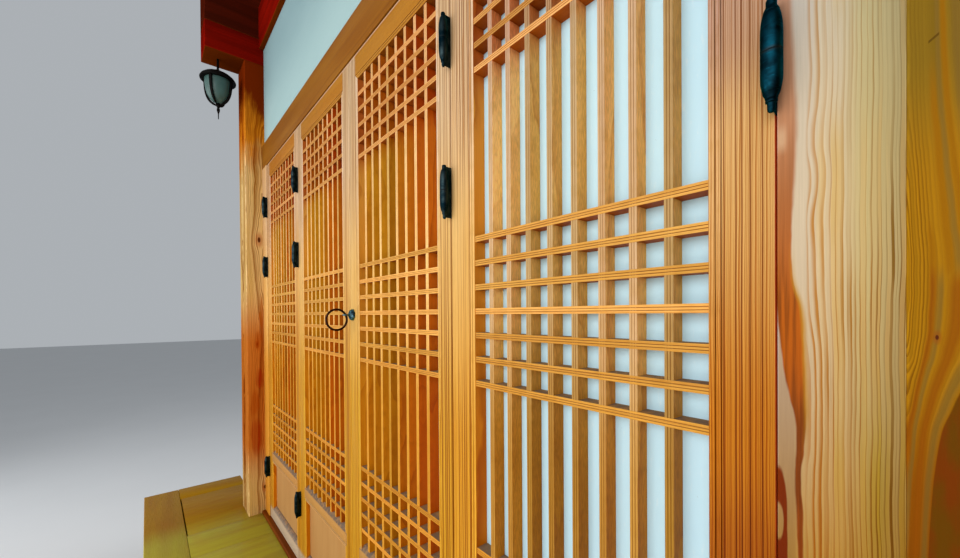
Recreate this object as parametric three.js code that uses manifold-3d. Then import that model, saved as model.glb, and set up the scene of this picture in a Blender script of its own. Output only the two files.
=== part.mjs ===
// One front bay of a timber-framed courtyard house: two posts with beam heads, a head beam over a
// plastered panel, four lattice door leaves in a frame, a narrow timber porch and a hanging lantern.
// Millimetres, +Z up. X runs along the wall, +Y goes into the house, the porch is on the -Y side.
// The origin is on the ground, midway between the posts, in the plane of their centres.

import * as THREE from 'three';
import { mergeVertices } from 'three/addons/utils/BufferGeometryUtils.js';
import Module from 'manifold-3d';

const wasm = await Module();
wasm.setup();

// Fit between neighbouring solids
const FIT = 0.3;

// Bay
const POST = 200;
const BAY = 2943;
const POST_INNER = (BAY - POST) / 2;
const POST_OUTER = (BAY + POST) / 2;
const PLINTH_TOP = 120;
const POST_TOP = 3190;
const PLINTH = 300;

// Footing, sill, jambs and lintel
const FOOTING_TOP = 330;
const FOOTING_FRONT = -75;
const SILL_TOP = 415;
const SILL_FRONT = -28;
const FRAME_BACK = 92;
const FRAME_FRONT = -8;
const OPENING_HALF = 1265.5;
const LINTEL_BOTTOM = 2541;
const LINTEL_TOP = 2685;

// Plaster panel and beams
const PLASTER_TOP = 3285;
const PLASTER_FRONT = 7;
const PLASTER_BACK = 87;
const HEAD_BEAM_TOP = 3540;
const HEAD_BEAM_FRONT = -20;
const HEAD_BEAM_BACK = 100;
const BEAM_HEAD_FRONT = -298;
const BEAM_HEAD_BACK = 100;
const BEAM_HEAD_SEAM = 3347.5;
const BEAM_HEAD_TOP = 3640;

// Door leaves
const LEAF_WIDTH = 629;
const LEAF_GAP = 3;
const LEAF_BOTTOM = 418;
const LEAF_TOP = 2538;
const LEAF_FRONT = -3;
const LEAF_BACK = 35;
const STILE = 72.5;
const TOP_RAIL = 88;
const LOCK_RAIL = 72;
const BOTTOM_RAIL = 78;
const LATTICE_HEIGHT = 1620;
const LATTICE_CENTRE = 1640;

// The joint of the third and fourth leaves lies left of where equal stiles would meet
const FOLD_JOINT_SHIFT = -11;

// Lattice bars
const PITCH = 54;
const BAR = 13;
const BAR_DEPTH = 30;
const UPRIGHTS = 8;
const ROWS = [-14, -13, -12, -11, -10, -3, -2, -1, 0, 1, 2, 3, 10, 11, 12, 13, 14];

// Fine double grooves around each opening of a leaf
const GROOVES = [8, 15];
const GROOVE_WIDTH = 2;
const GROOVE_DEPTH = 1.5;

// Paper and bottom panel of a leaf
const PAPER = 1;
const PANEL_FRONT = 16;
const PANEL_BACK = 28;

// Spindle hinges
const HINGE_AXIS_Y = -23;
const HINGE_HEIGHTS = { top: 2286.5, upper: 1927, bottom: 722 };
const HINGE_PLATE = 2.4;
const HINGE_PLATE_ENDS = [-63, 58];

// Ring pull, standing out from the left stile of the third leaf
const RING_X = 22.5;
const RING_CENTRE = [-62, 1617];
const RING_RADIUS = 35.75;
const RING_WIRE = 3.75;
const EYE_CENTRE = [-27.5, 1633.5];
const EYE_RADIUS = 11;
const EYE_WIRE = 3;
const ROSETTE = 21;

// Porch
const PORCH_LEFT = -2134.5;
const PORCH_RIGHT = POST_OUTER;
const PORCH_FRONT = -593;
const PORCH_TOP = 400;
const EDGE_BEAM_BACK = -407.5;
const SLIT = 4;
const EDGE_BEAM_HEIGHT = 60;
const BOARD = 32;
const LEG = 100;
const LEG_Y = -510;
const LEG_X = { left: -1894, middle: -281, right: 1331 };

// Lantern
const LANTERN = [-1471.5, -222];

const timber = new THREE.MeshStandardMaterial({ color: 0xd9a05b, roughness: 0.55, metalness: 0 });
const darkTimber = new THREE.MeshStandardMaterial({ color: 0x6b2a12, roughness: 0.6, metalness: 0 });
const porchTimber = new THREE.MeshStandardMaterial({ color: 0x9a6a1c, roughness: 0.35, metalness: 0 });
const stone = new THREE.MeshStandardMaterial({ color: 0xa9a69c, roughness: 0.9, metalness: 0 });
const plaster = new THREE.MeshStandardMaterial({ color: 0xd9dee2, roughness: 0.9, metalness: 0 });
const paper = new THREE.MeshStandardMaterial({ color: 0xdfe3e6, roughness: 0.95, metalness: 0 });
const iron = new THREE.MeshStandardMaterial({ color: 0x1d2b33, roughness: 0.45, metalness: 0.9 });
const glass = new THREE.MeshStandardMaterial({ color: 0x8fa89d, roughness: 0.4, metalness: 0 });

const bay = new THREE.Group();

// Geometry with shared vertices and its faces pointing out
function closed(geometry) {
  const bare = geometry.clone();
  bare.deleteAttribute('normal');
  bare.deleteAttribute('uv');
  const merged = mergeVertices(bare, 1e-4);
  const p = merged.attributes.position;
  const index = Array.from(merged.index.array);
  const kept = [];
  const a = new THREE.Vector3();
  const b = new THREE.Vector3();
  const c = new THREE.Vector3();
  let volume = 0;
  for (let i = 0; i < index.length; i += 3) {
    const [i0, i1, i2] = index.slice(i, i + 3);
    if (i0 === i1 || i1 === i2 || i2 === i0) {
      continue;
    }
    kept.push(i0, i1, i2);
    a.fromBufferAttribute(p, i0);
    b.fromBufferAttribute(p, i1);
    c.fromBufferAttribute(p, i2);
    volume += a.dot(b.cross(c));
  }
  if (volume < 0) {
    for (let i = 0; i < kept.length; i += 3) {
      [kept[i + 1], kept[i + 2]] = [kept[i + 2], kept[i + 1]];
    }
  }
  merged.setIndex(kept);
  merged.computeVertexNormals();
  return merged;
}

function toSolid(geometry) {
  const g = closed(geometry);
  const vertProperties = new Float32Array(g.attributes.position.array);
  const triVerts = new Uint32Array(g.index.array);
  return new wasm.Manifold(new wasm.Mesh({ numProp: 3, vertProperties, triVerts }));
}

function toGeometry(solid) {
  const mesh = solid.getMesh();
  const g = new THREE.BufferGeometry();
  g.setAttribute('position', new THREE.BufferAttribute(new Float32Array(mesh.vertProperties), 3));
  g.setIndex(Array.from(mesh.triVerts));
  return closed(g);
}

function fuse(geometries) {
  let solid = toSolid(geometries[0]);
  for (const g of geometries.slice(1)) {
    solid = solid.add(toSolid(g));
  }
  return toGeometry(solid);
}

function cut(geometry, cutters) {
  let solid = toSolid(geometry);
  for (const g of cutters) {
    solid = solid.subtract(toSolid(g));
  }
  return toGeometry(solid);
}

function box(x, y, z) {
  const g = new THREE.BoxGeometry(x[1] - x[0], y[1] - y[0], z[1] - z[0]);
  g.translate((x[0] + x[1]) / 2, (y[0] + y[1]) / 2, (z[0] + z[1]) / 2);
  return g;
}

function polygon(points) {
  return new THREE.Shape(points.map(([x, y]) => new THREE.Vector2(x, y)));
}

function rectangle(x0, x1, y0, y1) {
  return polygon([[x0, y0], [x1, y0], [x1, y1], [x0, y1]]);
}

// A squared timber with planed corners, centred on its own middle, its grain along one axis
function squared(size, along, chamfer) {
  const order = { x: [1, 2, 0], y: [2, 0, 1], z: [0, 1, 2] }[along];
  const [w, h, length] = order.map((i) => size[i]);
  const u = w / 2;
  const v = h / 2;
  const c = chamfer;
  const section = polygon([
    [-u + c, -v], [u - c, -v], [u, -v + c], [u, v - c],
    [u - c, v], [-u + c, v], [-u, v - c], [-u, -v + c],
  ]);
  const g = new THREE.ExtrudeGeometry(section, { depth: length, bevelEnabled: false, steps: 1 });
  g.translate(0, 0, -length / 2);
  const unit = [[1, 0, 0], [0, 1, 0], [0, 0, 1]].map((e) => new THREE.Vector3(...e));
  const basis = new THREE.Matrix4().makeBasis(unit[order[0]], unit[order[1]], unit[order[2]]);
  g.applyMatrix4(basis);
  return g;
}

// A plate drawn as seen from the porch, in x and z, from its front face back into the wall
function plate(shape, front, back) {
  const g = new THREE.ExtrudeGeometry(shape, { depth: back - front, bevelEnabled: false, steps: 1 });
  g.rotateX(Math.PI / 2);
  g.translate(0, back, 0);
  return g;
}

function add(name, geometry, material, position = [0, 0, 0], parent = bay) {
  const mesh = new THREE.Mesh(closed(geometry), material);
  mesh.name = name;
  mesh.position.set(...position);
  parent.add(mesh);
  return mesh;
}

function addTimber(name, x, y, z, along, chamfer, material = timber) {
  const size = [x[1] - x[0], y[1] - y[0], z[1] - z[0]];
  const centre = [(x[0] + x[1]) / 2, (y[0] + y[1]) / 2, (z[0] + z[1]) / 2];
  return add(name, squared(size, along, chamfer), material, centre);
}

// Stone footing: a low wall with a plinth stone under each post
const footing = fuse([
  box([-POST_INNER + FIT, POST_INNER - FIT], [FOOTING_FRONT, FRAME_BACK], [0, FOOTING_TOP - FIT]),
  ...[-1, 1].map((side) => box(
    [side * BAY / 2 - PLINTH / 2, side * BAY / 2 + PLINTH / 2],
    [-PLINTH / 2, PLINTH / 2],
    [0, PLINTH_TOP - FIT],
  )),
]);
add('stone_footing', footing, stone);

// Posts
for (const [name, side] of [['left_post', -1], ['right_post', 1]]) {
  const x = side * BAY / 2;
  addTimber(name, [x - POST / 2, x + POST / 2], [-POST / 2, POST / 2], [PLINTH_TOP, POST_TOP - FIT], 'z', 5);
}

// Sill, jambs and lintel
const span = [-POST_INNER + FIT, POST_INNER - FIT];
const sillSection = polygon([
  [SILL_FRONT, FOOTING_TOP], [FRAME_BACK, FOOTING_TOP], [FRAME_BACK, SILL_TOP],
  [SILL_FRONT + 9, SILL_TOP], [SILL_FRONT + 3, SILL_TOP - 3], [SILL_FRONT, SILL_TOP - 9],
]);
const sill = new THREE.ExtrudeGeometry(sillSection, { depth: span[1] - span[0], bevelEnabled: false });
sill.applyMatrix4(new THREE.Matrix4().makeBasis(
  new THREE.Vector3(0, 1, 0),
  new THREE.Vector3(0, 0, 1),
  new THREE.Vector3(1, 0, 0),
));
add('door_sill', sill, timber, [span[0], 0, 0]);
const jambHeight = [SILL_TOP + FIT, LINTEL_BOTTOM - FIT];
const frameDepth = [FRAME_FRONT, FRAME_BACK];
addTimber('left_jamb', [-POST_INNER + FIT, -OPENING_HALF], frameDepth, jambHeight, 'z', 3);
addTimber('right_jamb', [OPENING_HALF, POST_INNER - FIT], frameDepth, jambHeight, 'z', 3);
addTimber('lintel', span, frameDepth, [LINTEL_BOTTOM, LINTEL_TOP], 'x', 3);

// Plaster panel over the lintel and the head beam over the panel
const plasterHeight = [LINTEL_TOP + FIT, PLASTER_TOP - FIT];
const panelDepth = [PLASTER_FRONT, PLASTER_BACK];
add('plaster_panel', box(span, panelDepth, plasterHeight), plaster);
const headDepth = [HEAD_BEAM_FRONT, HEAD_BEAM_BACK];
addTimber('head_beam', span, headDepth, [PLASTER_TOP, HEAD_BEAM_TOP], 'x', 6, darkTimber);

// Beam heads: a bracket arm with the end of a roof beam lying on it, a fine seam between the two
for (const [name, side] of [['left_beam_head', -1], ['right_beam_head', 1]]) {
  const depth = BEAM_HEAD_BACK - BEAM_HEAD_FRONT;
  const arm = squared([POST, depth, BEAM_HEAD_SEAM - POST_TOP], 'y', 5);
  arm.translate(0, 0, (BEAM_HEAD_SEAM + POST_TOP) / 2);
  const beam = squared([POST, depth, BEAM_HEAD_TOP - BEAM_HEAD_SEAM], 'y', 5);
  beam.translate(0, 0, (BEAM_HEAD_TOP + BEAM_HEAD_SEAM) / 2);
  const middle = (BEAM_HEAD_FRONT + BEAM_HEAD_BACK) / 2;
  add(name, fuse([arm, beam]), darkTimber, [side * BAY / 2, middle, 0]);
}

// Door leaves
const half = LEAF_WIDTH / 2;
const clear = half - STILE;
const latticeBottom = LATTICE_CENTRE - LATTICE_HEIGHT / 2;
const latticeTop = LATTICE_CENTRE + LATTICE_HEIGHT / 2;
const panelTop = latticeBottom - LOCK_RAIL;
const panelBottom = LEAF_BOTTOM + BOTTOM_RAIL;

function rectangularRing(inset, x, z0, z1) {
  const far = inset + GROOVE_WIDTH;
  const ring = rectangle(-x - far, x + far, z0 - far, z1 + far);
  ring.holes.push(rectangle(-x - inset, x + inset, z0 - inset, z1 + inset));
  return plate(ring, LEAF_FRONT - 1, LEAF_FRONT + GROOVE_DEPTH);
}

function frameGeometry(leftShift, rightShift) {
  const outline = rectangle(-half + leftShift, half + rightShift, LEAF_BOTTOM, LEAF_TOP);
  outline.holes.push(rectangle(-clear, clear, latticeBottom, latticeTop));
  outline.holes.push(rectangle(-clear, clear, panelBottom, panelTop));
  const body = plate(outline, LEAF_FRONT, LEAF_BACK);
  const grooves = GROOVES.flatMap((inset) => [
    rectangularRing(inset, clear, latticeBottom, latticeTop),
    rectangularRing(inset, clear, panelBottom, panelTop),
  ]);
  return cut(body, grooves);
}

// The bars cross in one plane, each ending a hair short of the leaf's frame
function latticeGeometry() {
  const w = BAR / 2;
  const bars = [];
  for (let i = 0; i < UPRIGHTS; i += 1) {
    const x = (i - (UPRIGHTS - 1) / 2) * PITCH;
    bars.push(box([x - w, x + w], [0, BAR_DEPTH], [latticeBottom + FIT, latticeTop - FIT]));
  }
  for (const row of ROWS) {
    const z = LATTICE_CENTRE + row * PITCH;
    bars.push(box([-clear + FIT, clear - FIT], [0, BAR_DEPTH], [z - w, z + w]));
  }
  return fuse(bars);
}

const equalFrame = frameGeometry(0, 0);
const frameShapes = [
  equalFrame, equalFrame, frameGeometry(0, FOLD_JOINT_SHIFT), frameGeometry(FOLD_JOINT_SHIFT, 0),
];
const latticeShape = latticeGeometry();
const paperFront = BAR_DEPTH + FIT;
const paperShape = box(
  [-clear + FIT, clear - FIT],
  [paperFront, paperFront + PAPER],
  [latticeBottom + FIT, latticeTop - FIT],
);
const panelShape = box(
  [-clear + FIT, clear - FIT],
  [PANEL_FRONT, PANEL_BACK],
  [panelBottom + FIT, panelTop - FIT],
);
for (let i = 0; i < 4; i += 1) {
  const leaf = new THREE.Group();
  leaf.position.x = (i - 1.5) * (LEAF_WIDTH + LEAF_GAP);
  bay.add(leaf);
  const name = `leaf_${i + 1}`;
  add(`${name}_frame`, frameShapes[i], timber, [0, 0, 0], leaf);
  add(`${name}_lattice`, latticeShape, timber, [0, 0, 0], leaf);
  add(`${name}_paper`, paperShape, paper, [0, 0, 0], leaf);
  add(`${name}_panel`, panelShape, timber, [0, 0, 0], leaf);
}

// Hinges: a turned spindle in front of each joint, on a plate let into the joint
const spindleProfile = [
  [0, -67], [3.6, -67], [4.2, -64], [4.2, -57], [6, -55.5], [6, -50.5], [7.6, -47], [10.8, -31],
  [10.8, 31], [7.6, 46], [5.4, 50.5], [5.4, 59], [3.4, 60.5], [0, 60.5],
].map(([r, h]) => new THREE.Vector2(r, h));
const spindle = new THREE.LatheGeometry(spindleProfile, 8);
spindle.rotateX(Math.PI / 2);
const hingePlate = box(
  [-HINGE_PLATE / 2, HINGE_PLATE / 2],
  [0, 30 - HINGE_AXIS_Y],
  HINGE_PLATE_ENDS,
);
const hingeShape = fuse([spindle, hingePlate]);
const joint = 1.5 * (LEAF_WIDTH + LEAF_GAP) + LEAF_WIDTH / 2 + LEAF_GAP / 2;
const HINGE_LINES = {
  left_jamb: -joint,
  leaf_1_2: -(LEAF_WIDTH + LEAF_GAP),
  leaf_3_4: LEAF_WIDTH + LEAF_GAP + FOLD_JOINT_SHIFT,
  right_jamb: joint,
};
for (const [line, x] of Object.entries(HINGE_LINES)) {
  for (const [level, z] of Object.entries(HINGE_HEIGHTS)) {
    add(`${line}_${level}_hinge`, hingeShape, iron, [x, HINGE_AXIS_Y, z]);
  }
}

// Ring pull: a rosette with an eye, and the ring that hangs in the eye
const rosetteProfile = [
  [0, 0], [ROSETTE, 0], [ROSETTE, 3], [20, 5.5], [17.5, 9.5], [14, 12], [10.5, 12.6], [9, 14.5],
  [6, 16.4], [0, 16.5],
].map(([r, h]) => new THREE.Vector2(r, h));
const rosette = new THREE.LatheGeometry(rosetteProfile, 12);
rosette.rotateX(Math.PI);
rosette.translate(0, LEAF_FRONT - FIT - EYE_CENTRE[0], 0);
const eye = new THREE.TorusGeometry(EYE_RADIUS, EYE_WIRE, 8, 16);
add('ring_staple', fuse([rosette, eye]), iron, [RING_X, ...EYE_CENTRE]);
const ring = new THREE.TorusGeometry(RING_RADIUS, RING_WIRE, 8, 36);
ring.rotateY(Math.PI / 2);
add('door_ring', ring, iron, [RING_X, ...RING_CENTRE]);

// Lantern under the left beam head: a metal cap and four ribs around an egg-shaped glass
const glassOuter = [
  [7, 2920], [22, 2926], [36, 2936], [48, 2950], [57, 2967], [63.5, 2988], [67.5, 3012], [69.5, 3036],
  [70, 3056.7],
];
const glassInner = glassOuter.map(([r, z]) => [Math.max(r - 3, 4), z + (r > 60 ? 0 : 3)]).reverse();
glassInner[glassInner.length - 1] = [0, 2924];
const glassProfile = [[0, 2920], ...glassOuter, ...glassInner].map(([r, z]) => new THREE.Vector2(r, z));
const glassShell = new THREE.LatheGeometry(glassProfile, 16);
glassShell.rotateX(Math.PI / 2);
add('lantern_glass', glassShell, glass, [...LANTERN, 0]);

const capProfile = [
  [0, 3057], [88, 3057], [93, 3055], [94, 3063], [88, 3073], [70, 3089], [48, 3101], [26, 3109],
  [15, 3115], [13, 3123], [7, 3127], [6, POST_TOP - FIT], [0, POST_TOP - FIT],
].map(([r, z]) => new THREE.Vector2(r, z));
const cap = new THREE.LatheGeometry(capProfile, 16);
cap.rotateX(Math.PI / 2);
const finialProfile = [
  [0, 2826], [2.2, 2828], [3, 2858], [6, 2869], [8.5, 2879], [8.5, 2886], [6, 2894], [10, 2902],
  [13, 2910], [13, 2918], [0, 2919.7],
].map(([r, z]) => new THREE.Vector2(r, z));
const finial = new THREE.LatheGeometry(finialProfile, 8);
finial.rotateX(Math.PI / 2);
const ribInner = glassOuter.slice(1).map(([r, z]) => [r + 1.5, z - 1.5]);
const ribOuter = glassOuter.slice(1).map(([r, z], i) => [r + 12, z - 11 + i * 1.3]).reverse();
const ribShape = polygon([[4, 2911], ...ribInner, [71.5, 3059], [82.5, 3059], ...ribOuter, [4, 2903]]);
const ribs = [-36, 54, 144, 234].map((degrees) => {
  const g = new THREE.ExtrudeGeometry(ribShape, { depth: 11, bevelEnabled: false, steps: 1 });
  g.translate(0, 0, -5.5);
  g.rotateX(Math.PI / 2);
  g.rotateZ(THREE.MathUtils.degToRad(degrees));
  return g;
});
add('lantern_frame', fuse([cap, finial, ...ribs]), iron, [...LANTERN, 0]);

// Porch: a broad edge beam on legs, and boards on battens between it and the sill
const ledgeTop = PORCH_TOP - BOARD - FIT;
const edgeBottom = PORCH_TOP - EDGE_BEAM_HEIGHT;
const edgeSection = polygon([
  [PORCH_FRONT + 4, edgeBottom], [EDGE_BEAM_BACK + 24, edgeBottom], [EDGE_BEAM_BACK + 24, ledgeTop],
  [EDGE_BEAM_BACK, ledgeTop], [EDGE_BEAM_BACK, PORCH_TOP], [PORCH_FRONT + 4, PORCH_TOP],
  [PORCH_FRONT, PORCH_TOP - 4], [PORCH_FRONT, edgeBottom + 4],
]);
const edgeLength = PORCH_RIGHT - PORCH_LEFT;
const edge = new THREE.ExtrudeGeometry(edgeSection, { depth: edgeLength, bevelEnabled: false });
edge.applyMatrix4(new THREE.Matrix4().makeBasis(
  new THREE.Vector3(0, 1, 0),
  new THREE.Vector3(0, 0, 1),
  new THREE.Vector3(1, 0, 0),
));
add('porch_edge_beam', edge, porchTimber, [PORCH_LEFT, 0, 0]);

const boardFront = EDGE_BEAM_BACK + SLIT;
const boardBack = SILL_FRONT - FIT;
const boardBottom = PORCH_TOP - BOARD;
const battenFront = EDGE_BEAM_BACK + 24 + FIT;
const deck = fuse([
  box([PORCH_LEFT, PORCH_RIGHT], [boardFront, boardBack], [boardBottom, PORCH_TOP]),
  box([PORCH_LEFT, PORCH_RIGHT], [FOOTING_FRONT, boardBack], [FOOTING_TOP, boardBottom + 1]),
  ...Object.values(LEG_X).map((x) => box(
    [x - 35, x + 35],
    [battenFront, FOOTING_FRONT + 1],
    [FOOTING_TOP, boardBottom + 1],
  )),
]);
const notches = [-1, 1].map((side) => box(
  [side * BAY / 2 - POST / 2 - FIT, side * BAY / 2 + POST / 2 + FIT],
  [-POST / 2 - FIT, 0],
  [FOOTING_TOP - 10, PORCH_TOP + 10],
));
add('porch_boards', cut(deck, notches), porchTimber);

for (const [where, x] of Object.entries(LEG_X)) {
  const legX = [x - LEG / 2, x + LEG / 2];
  const legY = [LEG_Y - LEG / 2, LEG_Y + LEG / 2];
  addTimber(`${where}_porch_leg`, legX, legY, [0, edgeBottom - FIT], 'z', 4, porchTimber);
}

export default bay;
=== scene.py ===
# Looks for one front bay of a timber courtyard house: lattice doors, posts, beams, porch and lantern.
# Metres, +Z up. X runs along the wall, the porch is on the -Y side.

import math
import random

import bmesh
import bpy
from mathutils import Matrix, Vector


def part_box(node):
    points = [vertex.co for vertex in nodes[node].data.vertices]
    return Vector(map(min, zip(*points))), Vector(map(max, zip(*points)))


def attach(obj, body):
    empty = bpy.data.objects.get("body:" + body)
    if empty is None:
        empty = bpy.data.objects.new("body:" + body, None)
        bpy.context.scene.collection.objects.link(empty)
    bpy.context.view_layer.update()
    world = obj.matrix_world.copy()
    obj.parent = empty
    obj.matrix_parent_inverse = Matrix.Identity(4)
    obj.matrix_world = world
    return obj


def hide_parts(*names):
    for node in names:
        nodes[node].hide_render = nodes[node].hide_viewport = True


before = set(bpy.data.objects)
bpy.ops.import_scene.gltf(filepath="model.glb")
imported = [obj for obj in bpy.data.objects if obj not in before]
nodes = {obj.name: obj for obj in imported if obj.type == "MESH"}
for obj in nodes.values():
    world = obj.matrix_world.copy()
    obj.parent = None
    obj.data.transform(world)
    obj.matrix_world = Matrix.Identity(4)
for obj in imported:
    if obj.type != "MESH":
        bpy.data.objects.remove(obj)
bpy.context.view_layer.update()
chance = random.Random(7)

WALL = "wall_bay"
PULL = "ring_pull"

# The photograph's frame, in its own pixels
PHOTO_WIDTH = 960
SENSOR_WIDTH = 36.0
FOCAL_PIXELS = 396.0
HORIZON_SHIFT_PIXELS = 37.5

# Camera beyond the right jamb, looking back along the wall
CAMERA_PLACE = Vector((1.3949, -0.5652, 1.6347))
CAMERA_TURN = math.radians(40.04)
CAMERA_PITCH = math.radians(-0.41)
CAMERA_ROLL = math.radians(-0.39)

# Door leaves
LEAF_STEP = 0.632
LEAF_HALF = 0.3145
LEAF_CLEAR = 0.242
LEAF_BOTTOM = 0.418
LEAF_TOP = 2.538
LEAF_FRONT = -0.003
LEAF_BACK = 0.035
LATTICE_BOTTOM = 0.830
LATTICE_TOP = 2.450
LATTICE_CENTRE = 1.640
PANEL_BOTTOM = 0.496
PANEL_TOP = 0.758
MOULDING = 0.016
SILL_BACK = 0.010
STRAIGHT_LINES = (0.0188, 0.0320, 0.0385, 0.0473, 0.0600)
STRETCH = {1: (0.25, 0.3), 2: (0.3, 0.3), 3: (0.35, 0.42), 4: (0.42, 1.10)}

# The joint of leaves 3 and 4 lies left of where equal stiles would meet
JOINT_SHIFT = -0.011
EDGE_SHIFTS = {1: (0.0, 0.0), 2: (0.0, 0.0), 3: (0.0, JOINT_SHIFT), 4: (JOINT_SHIFT, 0.0)}

# Lattice bars
PITCH = 0.054
BAR = 0.013
BAR_BACK = 0.030
UPRIGHTS = 8
ROWS = [-14, -13, -12, -11, -10, -3, -2, -1, 0, 1, 2, 3, 10, 11, 12, 13, 14]
BEADS = 3
FIT = 0.0003

# Spindle hinges
HINGE_AXIS_Y = -0.023
HINGE_HEIGHTS = {"top": 2.2865, "upper": 1.927, "bottom": 0.722}
HINGE_LINES = {"left_jamb": -1.264, "leaf_1_2": -0.632, "leaf_3_4": 0.632 + JOINT_SHIFT, "right_jamb": 1.264}

# Ring pull
RING_X = 0.0225
RING_CENTRE = Vector((RING_X, -0.062, 1.617))
RING_RADIUS = 0.03575
RING_WIRE = 0.00375
EYE_CENTRE = Vector((RING_X, -0.0275, 1.6335))
EYE_RADIUS = 0.011
EYE_WIRE = 0.003

# Lantern, and the seam between a beam head's two timbers
LANTERN = Vector((-1.4715, -0.222, 0.0))
HEAD_SEAM = 3.3475

# Porch
PORCH_LEFT = -2.1345
PORCH_RIGHT = 1.5715
PORCH_TOP = 0.400
POST_CENTRE = 1.4715
POST_HALF = 0.100
BETWEEN_POSTS = POST_CENTRE - POST_HALF - FIT


# Camera, lights and floor

def make_camera():
    ahead = Vector((-math.cos(CAMERA_TURN), math.sin(CAMERA_TURN), 0.0)) * math.cos(CAMERA_PITCH)
    ahead += Vector((0, 0, 1)) * math.sin(CAMERA_PITCH)
    level = ahead.cross(Vector((0, 0, 1))).normalized()
    upright = level.cross(ahead)
    right = level * math.cos(CAMERA_ROLL) + upright * math.sin(CAMERA_ROLL)
    up = right.cross(ahead)
    data = bpy.data.cameras.new("camera")
    data.sensor_width = SENSOR_WIDTH
    data.lens = FOCAL_PIXELS * SENSOR_WIDTH / PHOTO_WIDTH
    data.shift_y = HORIZON_SHIFT_PIXELS / PHOTO_WIDTH
    data.clip_start = 0.02
    camera = bpy.data.objects.new("camera", data)
    turn = Matrix((right, up, -ahead)).transposed().to_4x4()
    camera.matrix_world = Matrix.Translation(CAMERA_PLACE) @ turn
    bpy.context.scene.collection.objects.link(camera)
    bpy.context.scene.camera = camera


def area_light(name, place, target, size, power, colour):
    data = bpy.data.lights.new(name, "AREA")
    data.shape = "RECTANGLE"
    data.size, data.size_y = size
    data.energy = power
    data.color = colour
    light = bpy.data.objects.new(name, data)
    place = Vector(place)
    turn = (Vector(target) - place).to_track_quat("-Z", "Y").to_matrix().to_4x4()
    light.matrix_world = Matrix.Translation(place) @ turn
    bpy.context.scene.collection.objects.link(light)


def make_lights():
    area_light("courtyard_sky", (1.2, -4.6, 2.9), (-0.1, 0.0, 1.45), (6.0, 3.0), 190, (0.97, 0.99, 1.0))
    area_light("far_sky", (-3.2, -3.8, 2.2), (-0.6, 0.0, 1.4), (3.0, 3.0), 55, (0.97, 0.99, 1.0))
    area_light("porch_bounce", (0.2, -2.8, 0.9), (0.2, 0.0, 2.0), (4.0, 1.6), 26, (1.0, 0.80, 0.58))
    area_light("back_fill", (0.5, 4.5, 3.2), (0.0, 0.0, 1.6), (4.0, 3.0), 120, (1.0, 0.99, 0.97))
    world = bpy.data.worlds.new("studio")
    world.use_nodes = True
    tree = world.node_tree
    background = tree.nodes["Background"]
    background.inputs["Color"].default_value = (0.82, 0.87, 0.92, 1.0)
    seen = Signal(tree.nodes.new("ShaderNodeLightPath").outputs["Is Camera Ray"])
    wire(background.inputs["Strength"], between(seen, 0.36, 0.50))
    bpy.context.scene.world = world
    bpy.context.scene.view_settings.view_transform = "Standard"
    bpy.context.scene.view_settings.look = "None"


def make_floor():
    bm = new_shape()
    bmesh.ops.create_grid(bm, x_segments=1, y_segments=1, size=30.0)
    floor = finish_piece(bm, "floor", floor_finish(), smooth=False)


# Signals and nodes

class Signal:
    """A node's output; a sum with it adds a Math node to its tree."""

    def __init__(self, socket):
        self.socket = socket
        self.tree = socket.id_data

    def __add__(self, other):
        return calc("ADD", self, other)

    def __sub__(self, other):
        return calc("SUBTRACT", self, other)

    def __rsub__(self, other):
        return calc("SUBTRACT", other, self)

    def __mul__(self, other):
        return calc("MULTIPLY", self, other)

    def __truediv__(self, other):
        return calc("DIVIDE", self, other)

    def __abs__(self):
        return calc("ABSOLUTE", self)

    __radd__ = __add__
    __rmul__ = __mul__


def signals(sockets):
    return {socket.name: Signal(socket) for socket in sockets}


def wire(socket, value):
    """Links a signal, or sets a plain value."""
    if isinstance(value, Signal):
        value.tree.links.new(value.socket, socket)
    elif socket.type == "RGBA" and len(value) == 3:
        socket.default_value = (*value, 1.0)
    else:
        socket.default_value = value


def add_node(kind, inputs, **settings):
    """A node in the tree of its first signal, its inputs given by number or name."""
    tree = next(value.tree for value in inputs.values() if isinstance(value, Signal))
    node = tree.nodes.new("ShaderNode" + kind)
    for name, setting in settings.items():
        setattr(node, name, setting)
    for key, value in inputs.items():
        wire(node.inputs[key], value)
    return node


def calc(operation, *values):
    return Signal(add_node("Math", dict(enumerate(values)), operation=operation).outputs[0])


def split(vector):
    return [Signal(part) for part in add_node("SeparateXYZ", {0: vector}).outputs]


def join(x, y, z):
    return Signal(add_node("CombineXYZ", {0: x, 1: y, 2: z}).outputs[0])


def mix(factor, first, second, blend="MIX"):
    inputs = {0: factor, 6: first, 7: second}
    return Signal(add_node("Mix", inputs, data_type="RGBA", blend_type=blend).outputs[2])


def tint(colour, shade, amount=1.0):
    """A colour multiplied by a shade, in part where the amount is below one."""
    return mix(amount, colour, shade, "MULTIPLY")


def between(factor, first, second):
    """A number between two others."""
    return Signal(add_node("Mix", {0: factor, 2: first, 3: second}, data_type="FLOAT").outputs[0])


def ease(value, low, high, bottom=0.0, top=1.0):
    """A smooth step from bottom at low to top at high."""
    inputs = dict(enumerate((value, low, high, bottom, top)))
    return Signal(add_node("MapRange", inputs, interpolation_type="SMOOTHSTEP").outputs[0])


def stripe(value, centre, half_width):
    """One within a stripe around centre, fading to zero outside it."""
    return ease(abs(value - centre), half_width * 1.8, half_width * 0.2)


def noise(vector, scale, detail=2.0, roughness=0.5, offset=0.0):
    """Noise from 0 to 1; three scales stretch it and the offset moves it."""
    if isinstance(scale, tuple):
        parts = [calc("MULTIPLY_ADD", part, factor, offset) for part, factor in zip(split(vector), scale)]
        vector, scale = join(*parts), 1.0
    inputs = {"Vector": vector, "Scale": scale, "Detail": detail, "Roughness": roughness}
    return Signal(add_node("TexNoise", inputs).outputs[0])


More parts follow.
